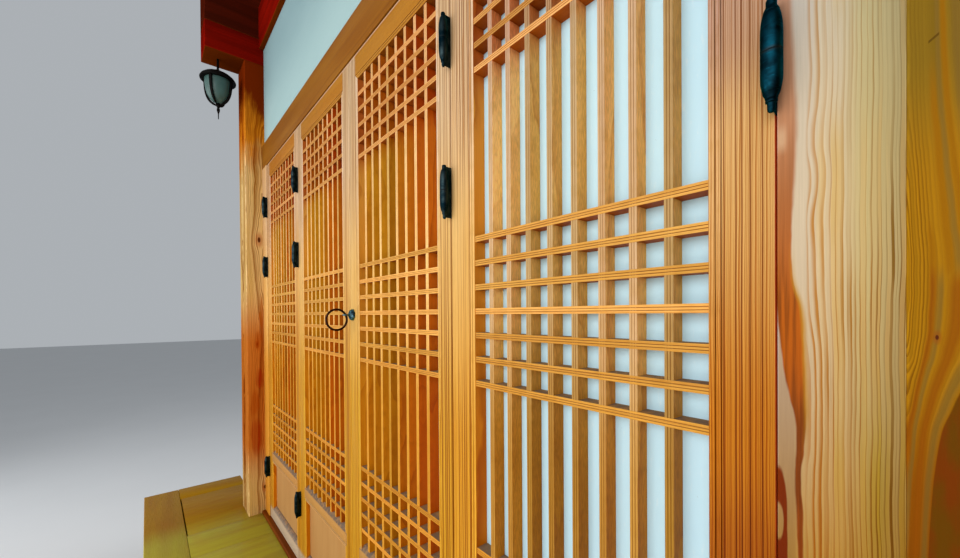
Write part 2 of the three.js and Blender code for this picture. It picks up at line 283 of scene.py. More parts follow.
def line_noise(value, scale):
    inputs = {"W": value, "Scale": scale, "Detail": 1.0}
    return Signal(add_node("TexNoise", inputs, noise_dimensions="1D").outputs[0])


def draw_lots(value):
    return Signal(add_node("TexWhiteNoise", {"W": value}, noise_dimensions="1D").outputs[0])


def curve(value, points):
    """A smooth curve through a few points, each from 0 to 1."""
    node = add_node("FloatCurve", {"Value": value})
    line = node.mapping.curves[0]
    while len(line.points) < len(points):
        line.points.new(0.5, 0.5)
    for point, (x, y) in zip(line.points, points):
        point.location = (x, y)
        point.handle_type = "AUTO"
    node.mapping.update()
    return Signal(node.outputs[0])


def attribute(place, name):
    """A mark that the mesh carries."""
    node = place.tree.nodes.new("ShaderNodeAttribute")
    node.attribute_name = name
    return Signal(node.outputs["Fac"])


def facing(place):
    """The three parts of the surface's normal."""
    return split(Signal(place.tree.nodes.new("ShaderNodeNewGeometry").outputs["Normal"]))


def side_on(place, low=0.6, high=0.9, top=1.0):
    """How far a face turns towards the wall's length."""
    return ease(abs(facing(place)[0]), low, high, 0.0, top)


def new_group(name, inputs, outputs):
    """A node group; its sockets are named by kind."""
    tree = bpy.data.node_groups.new(name, "ShaderNodeTree")
    for side, kinds in (("INPUT", inputs), ("OUTPUT", outputs)):
        for kind, labels in kinds.items():
            for label in labels.split():
                tree.interface.new_socket(label, in_out=side, socket_type="NodeSocket" + kind)
    given = tree.nodes.new("NodeGroupInput").outputs
    return tree, signals(given), tree.nodes.new("NodeGroupOutput").inputs


def use_group(group, **values):
    return signals(add_node("Group", values, node_tree=group).outputs)


def new_material(name, roughness=0.5, **plain):
    """A material, its shader and the Object coordinates."""
    material = bpy.data.materials.new(name)
    material.use_nodes = True
    shader = material.node_tree.nodes["Principled BSDF"]
    for label, value in {"Roughness": roughness, **plain}.items():
        wire(shader.inputs[label.replace("_", " ")], value)
    place = material.node_tree.nodes.new("ShaderNodeTexCoord").outputs["Object"]
    return material, shader, Signal(place)


def raise_surface(shader, height, distance, strength):
    bump = add_node("Bump", {"Height": height, "Distance": distance, "Strength": strength})
    wire(shader.inputs["Normal"], Signal(bump.outputs[0]))


# Node groups shared by the finishes

def make_pine_grain():
    """Growth rings around a pith line along Z, with darker late wood and fine fibres."""
    tree, given, made = new_group("pine_grain", {
        "Vector": "Position Pith", "Float": "Spacing Wander Seed Depth", "Color": "Pale Band Line",
    }, {"Color": "Color", "Float": "Line Fibre"})
    place = given["Position"]
    seed = given["Seed"]
    sway = noise(place, (2.2, 2.2, 0.8), 1.0, offset=seed) - 0.5
    sway = (noise(place, (9.0, 9.0, 3.0), offset=seed) - 0.5) * 0.30 + sway
    sway = (noise(place, (60.0, 60.0, 18.0), 1.0, offset=seed) - 0.5) * 0.035 + sway
    across, inward, _ = split(place)
    pith_x, pith_y, _ = split(given["Pith"])
    reach_x = across - pith_x
    reach_y = inward - pith_y
    radius = sway * given["Wander"] + calc("SQRT", reach_x * reach_x + reach_y * reach_y)
    uneven = line_noise(radius + seed, 130.0) - 0.5
    turns = uneven * 2.4 + radius / given["Spacing"]
    within = calc("FRACT", turns)
    lot = draw_lots(calc("FLOOR", turns) + seed)
    late = calc("POWER", within, 2.2) * ease(within, 0.88, 1.0, 1.0, 0.0) * (lot * 0.9 + 0.5)
    fibre = noise(place, (800.0, 800.0, 12.0), 3.0, 0.6, seed)
    drift = noise(place, (16.0, 16.0, 1.6), offset=seed)
    line = late * given["Depth"] * ease(fibre, 0.2, 0.75, 0.8, 1.25)
    colour = mix(ease(drift, 0.32, 0.68), given["Pale"], given["Band"])
    colour = mix(calc("MINIMUM", line, 1.0), colour, given["Line"])
    wire(made["Color"], tint(colour, ease(fibre, 0.2, 0.8, 0.90, 1.09)))
    wire(made["Line"], line)
    wire(made["Fibre"], fibre)
    return tree


def make_height_reflection():
    """Wood painted greyer and pinker high up, a painted sky reflection, and deeper amber low down, a painted
    warm bounce from the porch.
    """
    tree, given, made = new_group("height_reflection", {"Color": "Color Above Below", "Float": "Height"},
                                  {"Color": "Color"})
    colour = tint(given["Color"], given["Above"], ease(given["Height"], 1.72, 2.25))
    wire(made["Color"], tint(colour, given["Below"], ease(given["Height"], 1.76, 1.28)))
    return tree


def make_wear_glint_dust_and_shade():
    """Arrises paler from wear and a painted highlight, grey dust on what faces up, and a painted red-brown
    shade on what faces down.
    """
    tree, given, made = new_group("wear_glint_dust_and_shade", {
        "Vector": "Position", "Color": "Color Worn Dust Shade",
        "Float": "Arris Amount Shading Slope Roughness",
    }, {"Color": "Color", "Float": "Roughness"})
    place = given["Position"]
    # Arrises and bead crests turn paler: wear, and a painted highlight
    wear_and_glint = given["Arris"] * ease(noise(place, 35.0), 0.3, 0.6, 0.2, 0.7)
    up = facing(place)[2]
    patches = noise(place, 60.0, 3.0, 0.6)
    settled = ease(up, given["Slope"], given["Slope"] + 0.2)
    lies = settled * ease(patches, 0.30, 0.62, 0.55, 1.0) * given["Amount"]
    # Painted shade on what faces down
    hidden = ease(up, -0.6, -0.95) * given["Shading"]
    colour = tint(given["Color"], given["Worn"], wear_and_glint)
    colour = tint(colour, given["Shade"], hidden)
    wire(made["Color"], mix(lies, colour, given["Dust"]))
    wire(made["Roughness"], between(lies, given["Roughness"], 0.95))
    return tree


def make_knot():
    """A knot across the surface: how far it pushes the rings aside, and its dark core and rim."""
    tree, given, made = new_group("knot", {"Vector": "Centre", "Float": "Across Along Size"},
                                  {"Float": "Push Core Rim"})
    centre_across, centre_along, _ = split(given["Centre"])
    off = given["Across"] - centre_across
    rise = given["Along"] - centre_along
    share = calc("SQRT", off * off + rise * rise * 0.22) / given["Size"]
    wire(made["Push"], off * calc("EXPONENT", share * share * -0.16) * -0.85)
    wire(made["Core"], ease(share, 0.72, 0.40))
    wire(made["Rim"], ease(share, 2.2, 0.8))
    return tree


GRAIN = make_pine_grain()
HEIGHT_REFLECTION = make_height_reflection()
WEAR_GLINT_DUST_AND_SHADE = make_wear_glint_dust_and_shade()
KNOT = make_knot()

# Timber colours
ARRIS_WEAR_AND_HIGHLIGHT = (1.30, 1.42, 2.0)
DUST_GREY = (0.20, 0.140, 0.095)
UNDERSIDE_SHADE = (0.52, 0.22, 0.045)
SKY_SHEEN = (0.84, 0.90, 1.45)
AMBER_BOUNCE = (0.86, 0.66, 0.26)
PLAIN = (1.0, 1.0, 1.0)
FAR_AMBER_BOUNCE = (0.90, 0.79, 0.20)
NEAR_AMBER_BOUNCE = (0.95, 0.80, 0.23)
GAP_BOUNCE_RED = (0.80, 0.10, 0.02)
EAVES_SHADE = (2.10, 2.22)
WARM_BOUNCE_LOW = (1.62, 1.36)


def rings(position, colours, pith, spacing, wander, seed, depth):
    pale, band, line = colours
    return use_group(GRAIN, Position=position, Pith=(*pith, 0.0), Spacing=spacing, Wander=wander, Seed=seed,
                     Depth=depth, Pale=pale, Band=band, Line=line)


def reflected(colour, height, above=SKY_SHEEN, below=AMBER_BOUNCE):
    return use_group(HEIGHT_REFLECTION, Color=colour, Height=height, Above=above, Below=below)["Color"]


def finish_wood(shader, place, colour, grain, roughness, dust=0.0, shading=0.0, bump=0.0003, slope=0.75,
                dust_colour=DUST_GREY):
    """Arrises paler from wear and a painted highlight, dust, painted shade on undersides, sheen and bump for
    any timber.
    """
    line, fibre = grain["Line"], grain["Fibre"]
    sheen = (fibre - 0.5) * 0.25 + (line * -0.08 + roughness)
    aged_and_shaded = use_group(WEAR_GLINT_DUST_AND_SHADE, Color=colour, Position=place, Worn=ARRIS_WEAR_AND_HIGHLIGHT, Dust=dust_colour,
                     Shade=UNDERSIDE_SHADE, Arris=attribute(place, "arris"), Amount=dust, Shading=shading,
                     Slope=slope, Roughness=sheen)
    wire(shader.inputs["Base Color"], aged_and_shaded["Color"])
    wire(shader.inputs["Roughness"], aged_and_shaded["Roughness"])
    raise_surface(shader, fibre * 0.35 + line, bump, 0.6)


def grain_along(place, along):
    """Object coordinates turned so that Z runs along the grain."""
    x, y, z = split(place)
    return join(*{"x": (z, y, x), "y": (x, z, y), "z": (x, y, z)}[along])


def pine(name, along, colours, pith, spacing, wander, seed, depth, tone=True, gloss=0.04):
    """A plain timber whose rings run around one pith line."""
    material, shader, place = new_material(name, Specular_IOR_Level=gloss)
    grain = rings(grain_along(place, along), colours, pith, spacing, wander, seed, depth)
    # Colour by height: painted sky reflection high up, painted warm bounce low down
    colour = reflected(grain["Color"], split(place)[2]) if tone else grain["Color"]
    finish_wood(shader, place, colour, grain, 0.42)
    return material


def leaf_pine(leaf, depth_left, depth_right, colours, below, right_tint, right_low):
    """A leaf's frame: the grain runs up the stiles and along the rails, mitred at the mouldings."""
    material, shader, place = new_material(f"leaf_{leaf}_pine", Specular_IOR_Level=0.06)
    x, y, z = split(place)
    local = x - (leaf - 2.5) * LEAF_STEP
    beyond = abs(local) - LEAF_CLEAR
    lattice_rise = abs(z - LATTICE_CENTRE) - (LATTICE_TOP - LATTICE_BOTTOM) / 2
    panel_rise = abs(z - (PANEL_TOP + PANEL_BOTTOM) / 2) - (PANEL_TOP - PANEL_BOTTOM) / 2
    rise = calc("MAXIMUM", calc("MINIMUM", lattice_rise, panel_rise), 0.0)
    upright = calc("GREATER_THAN", beyond, calc("MINIMUM", rise, MOULDING))
    on_right = calc("GREATER_THAN", local, 0.0)
    closeness = between(on_right, *STRETCH[leaf])
    stile = join(local * closeness + calc("SIGN", local) * (0.37 * leaf), y, z)
    rail = join(z + 0.21 * leaf, y, local + 1.7 * leaf)
    chosen = Signal(add_node("Mix", {0: upright, 4: rail, 5: stile}, data_type="VECTOR").outputs[1])
    left_growth = ease(z, 1.85, 2.15, 0.55, 1.5) + ease(z, 1.60, 1.35, 0.0, 0.8)
    growth = between(on_right, left_growth, ease(z, 1.90, 1.45, 1.0, 1.5))
    depth = between(on_right, depth_left, depth_right) * growth
    grain = rings(chosen, colours, pith=(5.5, 0.30), spacing=0.0026, wander=0.024, seed=3.1 * leaf,
                  depth=depth)
    # Colour by height: painted sky reflection high up, painted warm bounce low down
    colour = reflected(grain["Color"], z, (0.92, 1.08, 2.1), below)
    # The right stile is tinted by height, bluer high up and deeper, darker amber low down: painted sky
    # reflection above, painted shade and warm bounce below
    right_side = mix(ease(z, 1.80, 1.48), right_tint, right_low)
    if leaf == 4:
        right_side = tint(right_side, (0.75, 0.63, 1.1), ease(z, 1.48, 1.32))
        right_side = tint(right_side, (0.74, 0.70, 0.85), ease(z, 1.86, 1.98))
    colour = tint(colour, right_side, on_right)
    # A few straight late-wood lines, at fixed distances from the opening
    distance = beyond + (noise(place, (0.0, 0.0, 3.0), offset=leaf) - 0.5) * 0.003
    marks = 0.0
    for at in STRAIGHT_LINES:
        marks = calc("MAXIMUM", marks, ease(abs(distance - at) * closeness, 0.0013, 0.0004))
    colour = tint(colour, (0.42, 0.24, 0.12), marks * upright * depth * 0.75)
    # Darker in the grooves: painted shade
    colour = tint(colour, (0.38, 0.20, 0.10), attribute(place, "groove") * 0.9)
    # The lock rail and the bottom rail are plainer and pinker than the stiles
    low_rail = (1.0 - upright) * ease(z, LATTICE_BOTTOM + 0.02, LATTICE_BOTTOM)
    colour = mix(low_rail * 0.75, colour, (0.44, 0.22, 0.080))
    top_rail = (1.0 - upright) * ease(z, LATTICE_TOP - 0.02, LATTICE_TOP)
    colour = tint(colour, (0.64, 0.38, 0.06), top_rail)
    # Side faces at the opening: lighter and oranger low, darker and redder high up, a painted warm bounce in
    # the reveal and painted shade of the eaves
    reveal_tint = mix(ease(z, *EAVES_SHADE), (1.15, 0.70, 0.18), (0.92, 0.30, 0.07))
    colour = tint(colour, reveal_tint, ease(beyond, 0.004, 0.002) * side_on(place))
    # The leaf's side face in the gap by the right jamb is painted red: painted warm bounce in the gap
    colour = mix(ease(x, 1.2550, 1.2600) * side_on(place), colour, GAP_BOUNCE_RED)
    # A pale cream band along the leaf's top edge: a painted highlight on the arris
    colour = mix(ease(z, LEAF_TOP - 0.007, LEAF_TOP - 0.003, 0.0, 0.7), colour, (0.78, 0.50, 0.34))
    weathered = ease(z, PANEL_BOTTOM, PANEL_BOTTOM - 0.03, 0.0, 0.65)
    colour = mix(weathered, colour, (0.50, 0.46, 0.38))
    dust_colour = mix(weathered, (0.17, 0.120, 0.088), (0.36, 0.35, 0.31))
    finish_wood(shader, place, colour, grain, 0.45, dust=1.0, shading=0.8, bump=0.0004, slope=0.12,
                dust_colour=dust_colour)
    return material


def bar_pine(name, along, colours, near_pinker):
    """Lattice bars: each bar has a tone of its own; bead crests carry a painted highlight, grooves painted
    shade, and side faces painted shade and warm inter-reflection.
    """
    material, shader, place = new_material(name, Specular_IOR_Level=0.05)
    lot = attribute(place, "bar")
    x, y, z = split(grain_along(place, along))
    grain = rings(join(x + lot * 9.0, y, z), colours, pith=(14.0, 0.2), spacing=0.0030, wander=0.03, seed=2.3,
                  depth=0.55)
    light = ease(lot, 0.0, 1.0, 0.84, 1.12)
    wall_x, _, height = split(place)
    colour = tint(grain["Color"], join(light, light, light * light))
    # Colour by height: painted sky reflection high up, painted warm bounce low down
    colour = reflected(colour, height, (0.92, 0.96, 1.15), (0.86, 0.70, 0.30))
    # Darker in the grooves: painted shade
    colour = tint(colour, (0.50, 0.27, 0.14), attribute(place, "groove") * 0.75)
    # Side faces are deeper and redder than fronts, redder towards each leaf's right, warmer low down and
    # darker high up: partly the wood's side grain, partly painted shade and warm inter-reflection in the
    # lattice's recesses
    across = calc("FRACT", (wall_x + 2 * LEAF_STEP) / LEAF_STEP)
    redder = ease(lot * 0.35 + across, 0.55, 1.05)
    far = mix(redder, (0.84, 0.51, 0.045), (0.80, 0.27, 0.018))
    speckle = ease(noise(place, (500.0, 500.0, 70.0), 3.0), 0.35, 0.65, 0.86, 1.12)
    is_near = ease(wall_x, 0.62, 0.65)
    near = join(speckle * 1.08, speckle * 0.93, speckle * 0.72)
    near = tint(near, (0.68, 0.58, 0.30), ease(height, *WARM_BOUNCE_LOW))
    in_shade = ease(height, *EAVES_SHADE)
    side = tint(mix(is_near, far, near), (0.80, 0.42, 0.35), in_shade)
    # Near fronts are pinker; fronts are warmer low down, a painted warm bounce, and darker high up, painted
    # shade of the eaves
    front = mix(is_near * near_pinker, PLAIN, (0.66, 0.68, 0.98))
    front = tint(front, (0.92, 0.86, 0.65), ease(height, *WARM_BOUNCE_LOW, 0.0, near_pinker))
    front = tint(front, (0.90, 0.79, 0.80), in_shade)
    colour = tint(colour, mix(side_on(place, 0.8, 0.95), front, side))
    finish_wood(shader, place, colour, grain, 0.5, dust=0.9, shading=1.0)
    return material


def jamb_pine():
    """The right jamb's flat-sawn board: a red heartwood streak that wanders, and rings that follow it."""
    material, shader, place = new_material("right_jamb_pine", Specular_IOR_Level=0.05)
    x, _, z = split(place)
    low, high, left, right = 1.34, 2.02, 1.260, 1.310
    outer = [(1.34, 1.2885), (1.41, 1.2890), (1.445, 1.2872), (1.48, 1.2900), (1.52, 1.2918), (1.56, 1.2906),
             (1.625, 1.2890), (1.69, 1.2790), (1.76, 1.2803), (1.84, 1.2838), (1.92, 1.2810), (2.02, 1.2775)]
    inner = [(1.34, 1.2850), (1.41, 1.2830), (1.455, 1.2818), (1.50, 1.2832), (1.535, 1.2775), (1.57, 1.2715),
             (1.61, 1.2675), (1.66, 1.2640), (1.72, 1.2620), (2.02, 1.2610)]
    guide = [(1.34, 1.2992), (1.41, 1.2980), (1.45, 1.2990), (1.50, 1.3020), (1.54, 1.3020), (1.58, 1.3002),
             (1.64, 1.2942), (1.71, 1.2921), (1.735, 1.2914), (1.78, 1.2960), (1.82, 1.2922), (1.87, 1.2944),
             (1.95, 1.2940), (2.02, 1.2955)]
    drawn = []
    for points in (outer, inner, guide):
        shares = [((up - low) / (high - low), (across - left) / (right - left)) for up, across in points]
        drawn.append(curve((z - low) / (high - low), shares) * (right - left) + left)
    outer, inner, guide = drawn
    fuzzy = (noise(place, (140.0, 140.0, 30.0)) - 0.5) * 0.0024 + x
    # The streak's edges blur high up
    to_outer = (outer - fuzzy) / ease(z, 1.66, 1.88, 0.0009, 0.0034)
    to_inner = (fuzzy - inner) / 0.0011
    streak = ease(to_outer, -1.0, 1.0) * ease(to_inner, -1.0, 1.0)
    # Lines follow the guide near the streak and straighten away from it
    nominal = 1.2955
    away = x - nominal
    slow = noise(place, (6.0, 6.0, 4.0), 1.0, offset=1.0) - 0.5
    ripple = noise(place, (34.0, 34.0, 11.0), offset=1.0) - 0.5
    reach = away - (guide - nominal) * calc("EXPONENT", abs(away) * -75.0)
    reach = ripple * 0.0044 + (slow * 0.008 + reach)
    turns = reach * reach * 1250.0 + reach * 150.0 + 4.86
    uneven = line_noise(reach + 1.0, 260.0) - 0.5
    turns = uneven * ease(away, 0.004, 0.02, 0.0, 1.3) + turns
    within = calc("FRACT", turns)
    ring = calc("FLOOR", turns)
    lot = draw_lots(ring + 1.0)
    second_lot = draw_lots(ring + 31.7)
    start = second_lot * 0.35 + ease(away, 0.01, 0.05, 0.22, 0.45)
    hump = ease(within, start, 0.86) * ease(within, 1.0, 0.90)
    along = ease(noise(place, (90.0, 90.0, 5.0), 1.0, offset=1.0), 0.3, 0.65, 0.50, 1.25)
    along = along * ease(z, 1.80, 1.62, 0.52, 1.2) * ease(z, 1.52, 1.44, 1.0, 0.86)
    line = hump * ((lot * 0.65 + 0.55) * along) * ease(away, -0.0065, -0.001)
    line = calc("MINIMUM", line, 1.0)
    fibre = noise(place, (700.0, 700.0, 14.0), 3.0, 0.6)
    cool = mix(ease(away, 0.020, 0.045), (0.58, 0.455, 0.275), (0.56, 0.445, 0.200))
    golden = mix(ease(z, 1.62, 1.48), (0.58, 0.385, 0.135), (0.58, 0.43, 0.100))
    cream = mix(ease(slow * 1.5 + second_lot, 0.25, 0.75), cool, golden)
    cream = mix(ease(away, 0.010, -0.002), cream, (0.55, 0.44, 0.300))
    late = mix(ease(away, 0.0, 0.03), (0.42, 0.185, 0.035), (0.36, 0.168, 0.022))
    late = mix(ease(away, 0.045, 0.056), late, (0.27, 0.140, 0.020))
    colour = mix(line, cream, late)
    colour = tint(colour, (0.75, 0.71, 0.76), ease(x, 1.286, 1.280) * ease(z, 1.66, 1.60))
    lichen = stripe(x, 1.348, 0.007) * stripe(z, 1.445, 0.060)
    colour = tint(colour, (0.88, 0.92, 0.30), lichen * 0.6)
    # A paler strip along the jamb's edge by the post: a painted highlight on the arris, lifting the post's
    # shadow there
    edge_highlight = ease(x, 1.3660, 1.3675)
    colour = tint(colour, (1.35, 1.38, 1.25), edge_highlight)
    # Heartwood: brown pink high up, burnt orange in the middle, darker below, with a golden rim
    heart = mix(ease(z, 1.91, 1.75), (0.46, 0.215, 0.105), (0.340, 0.116, 0.034))
    heart = mix(ease(z, 1.80, 1.62), heart, (0.33, 0.078, 0.003))
    heart = mix(ease(z, 1.60, 1.42), heart, (0.235, 0.066, 0.013))
    bands = ease(noise(place, (240.0, 240.0, 9.0)), 0.32, 0.66, 0.70, 1.30)
    heart = tint(heart, between(ease(z, 1.76, 1.64, 0.25, 1.0), 1.0, bands))
    soft_spot = stripe(z, 1.832, 0.012) * stripe(x, 1.2700, 0.004)
    heart = mix(soft_spot * 0.6, heart, (0.62, 0.40, 0.22))
    colour = mix(streak, colour, heart)
    rim = ease(to_outer, -5.0, 0.0) * ease(z, 1.72, 1.64) * ease(z, 1.46, 1.54) * ease(to_outer, 4.0, 0.0)
    colour = mix(rim * 0.75, colour, (0.46, 0.235, 0.020))
    # A pocket of the same red low on the left edge
    drop_x = (fuzzy - 1.2668) / 0.0085
    drop_z = (z - 1.340) / 0.116
    drop_z = drop_z * drop_z
    drop = drop_z * drop_z + drop_x * drop_x
    oval_x = (fuzzy - 1.2665) / 0.0048
    oval_z = (z - 1.393) / 0.021
    oval = calc("SQRT", oval_x * oval_x + oval_z * oval_z)
    colour = mix(ease(drop, 1.15, 0.85) * ease(oval, 0.85, 1.15), colour, (0.200, 0.032, 0.001))
    # The jamb's side face in the gap by the leaf is painted red: painted warm bounce in the gap
    colour = mix(ease(x, 1.264, 1.262) * side_on(place), colour, GAP_BOUNCE_RED)
    colour = tint(colour, ease(fibre, 0.2, 0.8, 0.94, 1.05))
    # Colour by height: painted sky reflection high up, painted warm bounce low down
    colour = reflected(colour, z, (0.70, 0.90, 1.37), (0.69, 0.43, 0.07))
    finish_wood(shader, place, colour, {"Line": line, "Fibre": fibre}, 0.42, bump=0.0002)
    return material


def left_post_pine():
    """Golden wood with wavy lines; resin shows orange and red in patches, and the head turns dark red-brown
    towards the top.
    """
    material, shader, place = new_material("left_post_pine", Specular_IOR_Level=0.0)
    x, y, z = split(place)
    # Knots push the rings aside: (face, across, height, size)
    pushed = {"front": x, "side": y}
    dark, rim = 0.0, 0.0
    for face, across, height, size in (("front", -1.430, 2.733, 0.012), ("side", -0.029, 2.102, 0.014),
                                       ("side", -0.045, 1.455, 0.007), ("side", -0.010, 0.560, 0.010)):
        run = x if face == "front" else y
        knot = use_group(KNOT, Across=run, Along=z, Centre=(across, height, 0.0), Size=size)
        pushed[face] = pushed[face] + knot["Push"]
        dark = calc("MAXIMUM", dark, knot["Core"])
        rim = calc("MAXIMUM", rim, knot["Rim"])
    colours = ((0.84, 0.58, 0.235), (0.75, 0.48, 0.150), (0.30, 0.105, 0.010))
    grain = rings(join(pushed["front"], pushed["side"], z), colours, pith=(-1.49, 0.03), spacing=0.020,
                  wander=0.085, seed=4.0, depth=1.1)
    colour = mix(rim * 0.55, grain["Color"], (0.45, 0.10, 0.012))
    colour = mix(dark, colour, (0.10, 0.022, 0.006))
    sway = noise(place, (22.0, 22.0, 7.0), 3.0) - 0.5
    # Resin patches on the face towards the doors: (across, height, half width, half height, colour)
    amber, red = (0.48, 0.150, 0.006), (0.42, 0.060, 0.004)
    streaky = grain["Line"] * 0.5 + 0.45
    for across, height, half_width, half_height, resin in (
            (-0.040, 1.475, 0.020, 0.060, amber), (-0.032, 1.242, 0.026, 0.062, red),
            (-0.062, 1.090, 0.024, 0.085, amber), (-0.055, 0.880, 0.030, 0.115, red),
            (-0.020, 1.640, 0.010, 0.120, amber)):
        off = (sway * 0.05 + (y - across)) / half_width
        rise = (z - height) / half_height
        colour = mix(ease(off * off + rise * rise, 1.5, 0.3) * streaky, colour, resin)
    glow = ease(z, 1.85, 1.45) * ease(z, 0.55, 0.85)
    colour = tint(colour, (0.72, 0.26, 0.006), glow * 0.9)
    colour = tint(colour, (0.76, 0.75, 0.80), side_on(place, 0.5, 0.3, 0.9))
    blotch = sway * 0.40 + z
    colour = tint(colour, (0.90, 0.42, 0.05), ease(blotch, 2.45, 2.75))
    colour = mix(ease(blotch, 2.72, 3.02), colour, (0.16, 0.017, 0.001))
    finish_wood(shader, place, colour, grain, 0.42)
    return material


def right_post_pine():
    """Golden wood whose fine lines bulge to the right at head height and fall back to the left below."""
    material, shader, place = new_material("right_post_pine", Specular_IOR_Level=0.02)
    x, y, z = split(place)
    low, high = 1.20, 2.10
    spread = curve((z - low) / (high - low), [
        (0.0, 0.22), (0.28, 0.26), (0.36, 0.34), (0.40, 0.48), (0.427, 0.64), (0.449, 0.80), (0.483, 0.93),
        (0.517, 0.97), (0.556, 0.88), (0.617, 0.74), (0.68, 0.62), (0.78, 0.55), (1.0, 0.50)])
    in_from_edge = (y + POST_HALF) * 0.6 + (x - (POST_CENTRE - POST_HALF))
    wander = noise(place, (24.0, 24.0, 9.0), 3.0) - 0.5
    fray = noise(place, (150.0, 150.0, 36.0)) - 0.5
    # Lines close to the arris run off it above and below the bulge
    runs_off = calc("EXPONENT", in_from_edge / -0.006) * ease(spread, 0.97, 0.60, 0.0, 0.005)
    grown = fray * 0.0016 + (wander * 0.0035 + (in_from_edge + runs_off) / spread)
    grown = calc("MAXIMUM", grown, -0.008)
    corner_side = ease(in_from_edge, 0.062, 0.042)
    turns = calc("LOGARITHM", grown * 83.0 + 1.0, math.e) * 11.0
    within = calc("FRACT", turns)
    lot = draw_lots(calc("FLOOR", turns))
    line = ease(within, 0.25, 0.80) * ease(within, 1.0, 0.84) * (lot * 0.8 + 0.2)
    line = line * ease(z, 1.82, 1.72, 0.35, 1.0) * ease(grown, 0.012, 0.020, 1.0, 0.35)
    line = line * ease(z, 1.50, 1.58, 0.5, 1.0)
    fibre = noise(place, (800.0, 800.0, 12.0), 3.0, 0.6)
    # Colours kept dark: partly the post's own wood, partly painted shade
    golden = mix(ease(z, 1.72, 1.84), (0.32, 0.142, 0.003), (0.195, 0.108, 0.007))
    golden = mix(ease(z, 1.60, 1.48), golden, (0.225, 0.066, 0.001))
    golden = mix(ease(z, 1.48, 1.38), golden, (0.148, 0.037, 0.001))
    golden = mix(corner_side, (0.30, 0.125, 0.008), golden)
    golden = tint(golden, lot * 0.22 + 0.89)
    colour = tint(golden, (0.50, 0.42, 0.40), line)
    # Bands that follow the lines, at distances from the left arris where the lines spread widest
    above = ease(z, 1.655, 1.675)
    below = ease(z, 1.675, 1.650)
    burnt, weathered = 0.0, ease(grown, 0.0370, 0.0430) * ease(z, 1.72, 1.80)
    for centre, half_width, where in ((0.0240, 0.0024, above * ease(z, 1.84, 1.79)), (0.0335, 0.0026, above),
                                      (0.0285, 0.0042, below), (0.0150, 0.0018, ease(z, 1.71, 1.69))):
        burnt = calc("MAXIMUM", burnt, stripe(grown, centre, half_width) * where)
    for centre, half_width, where in ((0.0285, 0.0017, above), (0.0420, 0.0050, below),
                                      (0.0190, 0.0016, below)):
        weathered = calc("MAXIMUM", weathered, stripe(grown, centre, half_width) * where)
    burnt_colour = mix(above, (0.22, 0.058, 0.001), (0.26, 0.098, 0.001))
    colour = mix(burnt * corner_side * 0.8, colour, burnt_colour)
    colour = mix(weathered * corner_side * 0.7, colour, (0.160, 0.090, 0.014))
    murk = noise(place, (70.0, 70.0, 22.0), 3.0)
    stain = mix(ease(murk, 0.36, 0.66), (0.148, 0.030, 0.001), (0.112, 0.042, 0.001))
    colour = mix(ease(grown, 0.0485, 0.0515) * ease(z, 1.62, 1.60) * corner_side, colour, stain)
    knot = use_group(KNOT, Across=x, Along=z, Centre=(1.3879, 1.614, 0.0), Size=0.0016)
    colour = mix(knot["Rim"] * 0.55, colour, (0.25, 0.06, 0.004))
    colour = mix(knot["Core"], colour, (0.08, 0.016, 0.004))
    # A short slanting scratch high up
    along = x - 1.3860
    off = along * -0.75 + (z - 1.8445)
    scratch = ease(abs(off), 0.0015, 0.0006) * ease(abs(along), 0.0031, 0.0024)
    colour = mix(scratch * 0.8, colour, (0.08, 0.035, 0.003))
    # Colour by height: painted sky reflection high up, painted warm bounce low down
    colour = reflected(colour, z, (0.90, 0.95, 1.2), (0.90, 0.84, 0.60))
    finish_wood(shader, place, colour, {"Line": line, "Fibre": fibre}, 0.45)
    return material


def porch_pine(name, along, seed):
    material, shader, place = new_material(name, Specular_IOR_Level=0.03)
    colours = ((0.39, 0.190, 0.001), (0.35, 0.152, 0.001), (0.26, 0.11, 0.001))
    grain = rings(grain_along(place, along), colours, pith=(0.9, -0.2), spacing=0.006, wander=0.10, seed=seed,
                  depth=0.14)
    brushed = noise(place, (3.0, 9.0, 9.0))
    colour = mix(ease(brushed, 0.52, 0.70, 0.0, 0.4), grain["Color"], (0.38, 0.150, 0.001))
    colour = tint(colour, ease(attribute(place, "bar"), 0.0, 1.0, 0.90, 1.08))
    # Left of about x = -1.45 the boards keep a darker, oranger colour: a painted reflection of the left post
    # in the glossy boards
    colour = tint(colour, (1.15, 2.10, 36.0), ease(split(place)[0], -1.60, -1.30))
    finish_wood(shader, place, colour, grain, 0.28, bump=0.00010)
    return material


def beam_pine(name, along, pith):
    """Dark red-brown stained wood, darkened as painted shade of the eaves; a head's upper timber is darker,
    painted shade, and undersides are painted lighter and oranger, a painted warm bounce.
    """
    material, shader, place = new_material(name, 0.6, Specular_IOR_Level=0.0)
    colours = ((0.215, 0.0046, 0.0014), (0.130, 0.0033, 0.0010), (0.065, 0.0020, 0.0006))
    grain = rings(grain_along(place, along), colours, pith, spacing=0.009, wander=0.06, seed=6.0, depth=0.5)
    # The upper timber, given a lot of one, is painted darker: painted shade
    colour = tint(grain["Color"], (0.36, 1.6, 1.6), attribute(place, "bar"))
    # Undersides: painted warm bounce
    colour = mix(ease(facing(place)[2], -0.5, -0.9), colour, (0.125, 0.020, 0.001))
    finish_wood(shader, place, colour, grain, 0.6)
    return material


# Other finishes

def coat(shader, colour, height, distance, strength, roughness=None):
    """A finish's colour and bump, and its roughness where that changes."""
    wire(shader.inputs["Base Color"], colour)
    if roughness:
        wire(shader.inputs["Roughness"], roughness)
    raise_surface(shader, height, distance, strength)


def floor_finish():
    material, shader, place = new_material("pale_floor", 0.85)
    colour = mix(noise(place, 1.5, 3.0), (0.76, 0.77, 0.78), (0.80, 0.81, 0.82))
    wire(shader.inputs["Base Color"], colour)
    return material


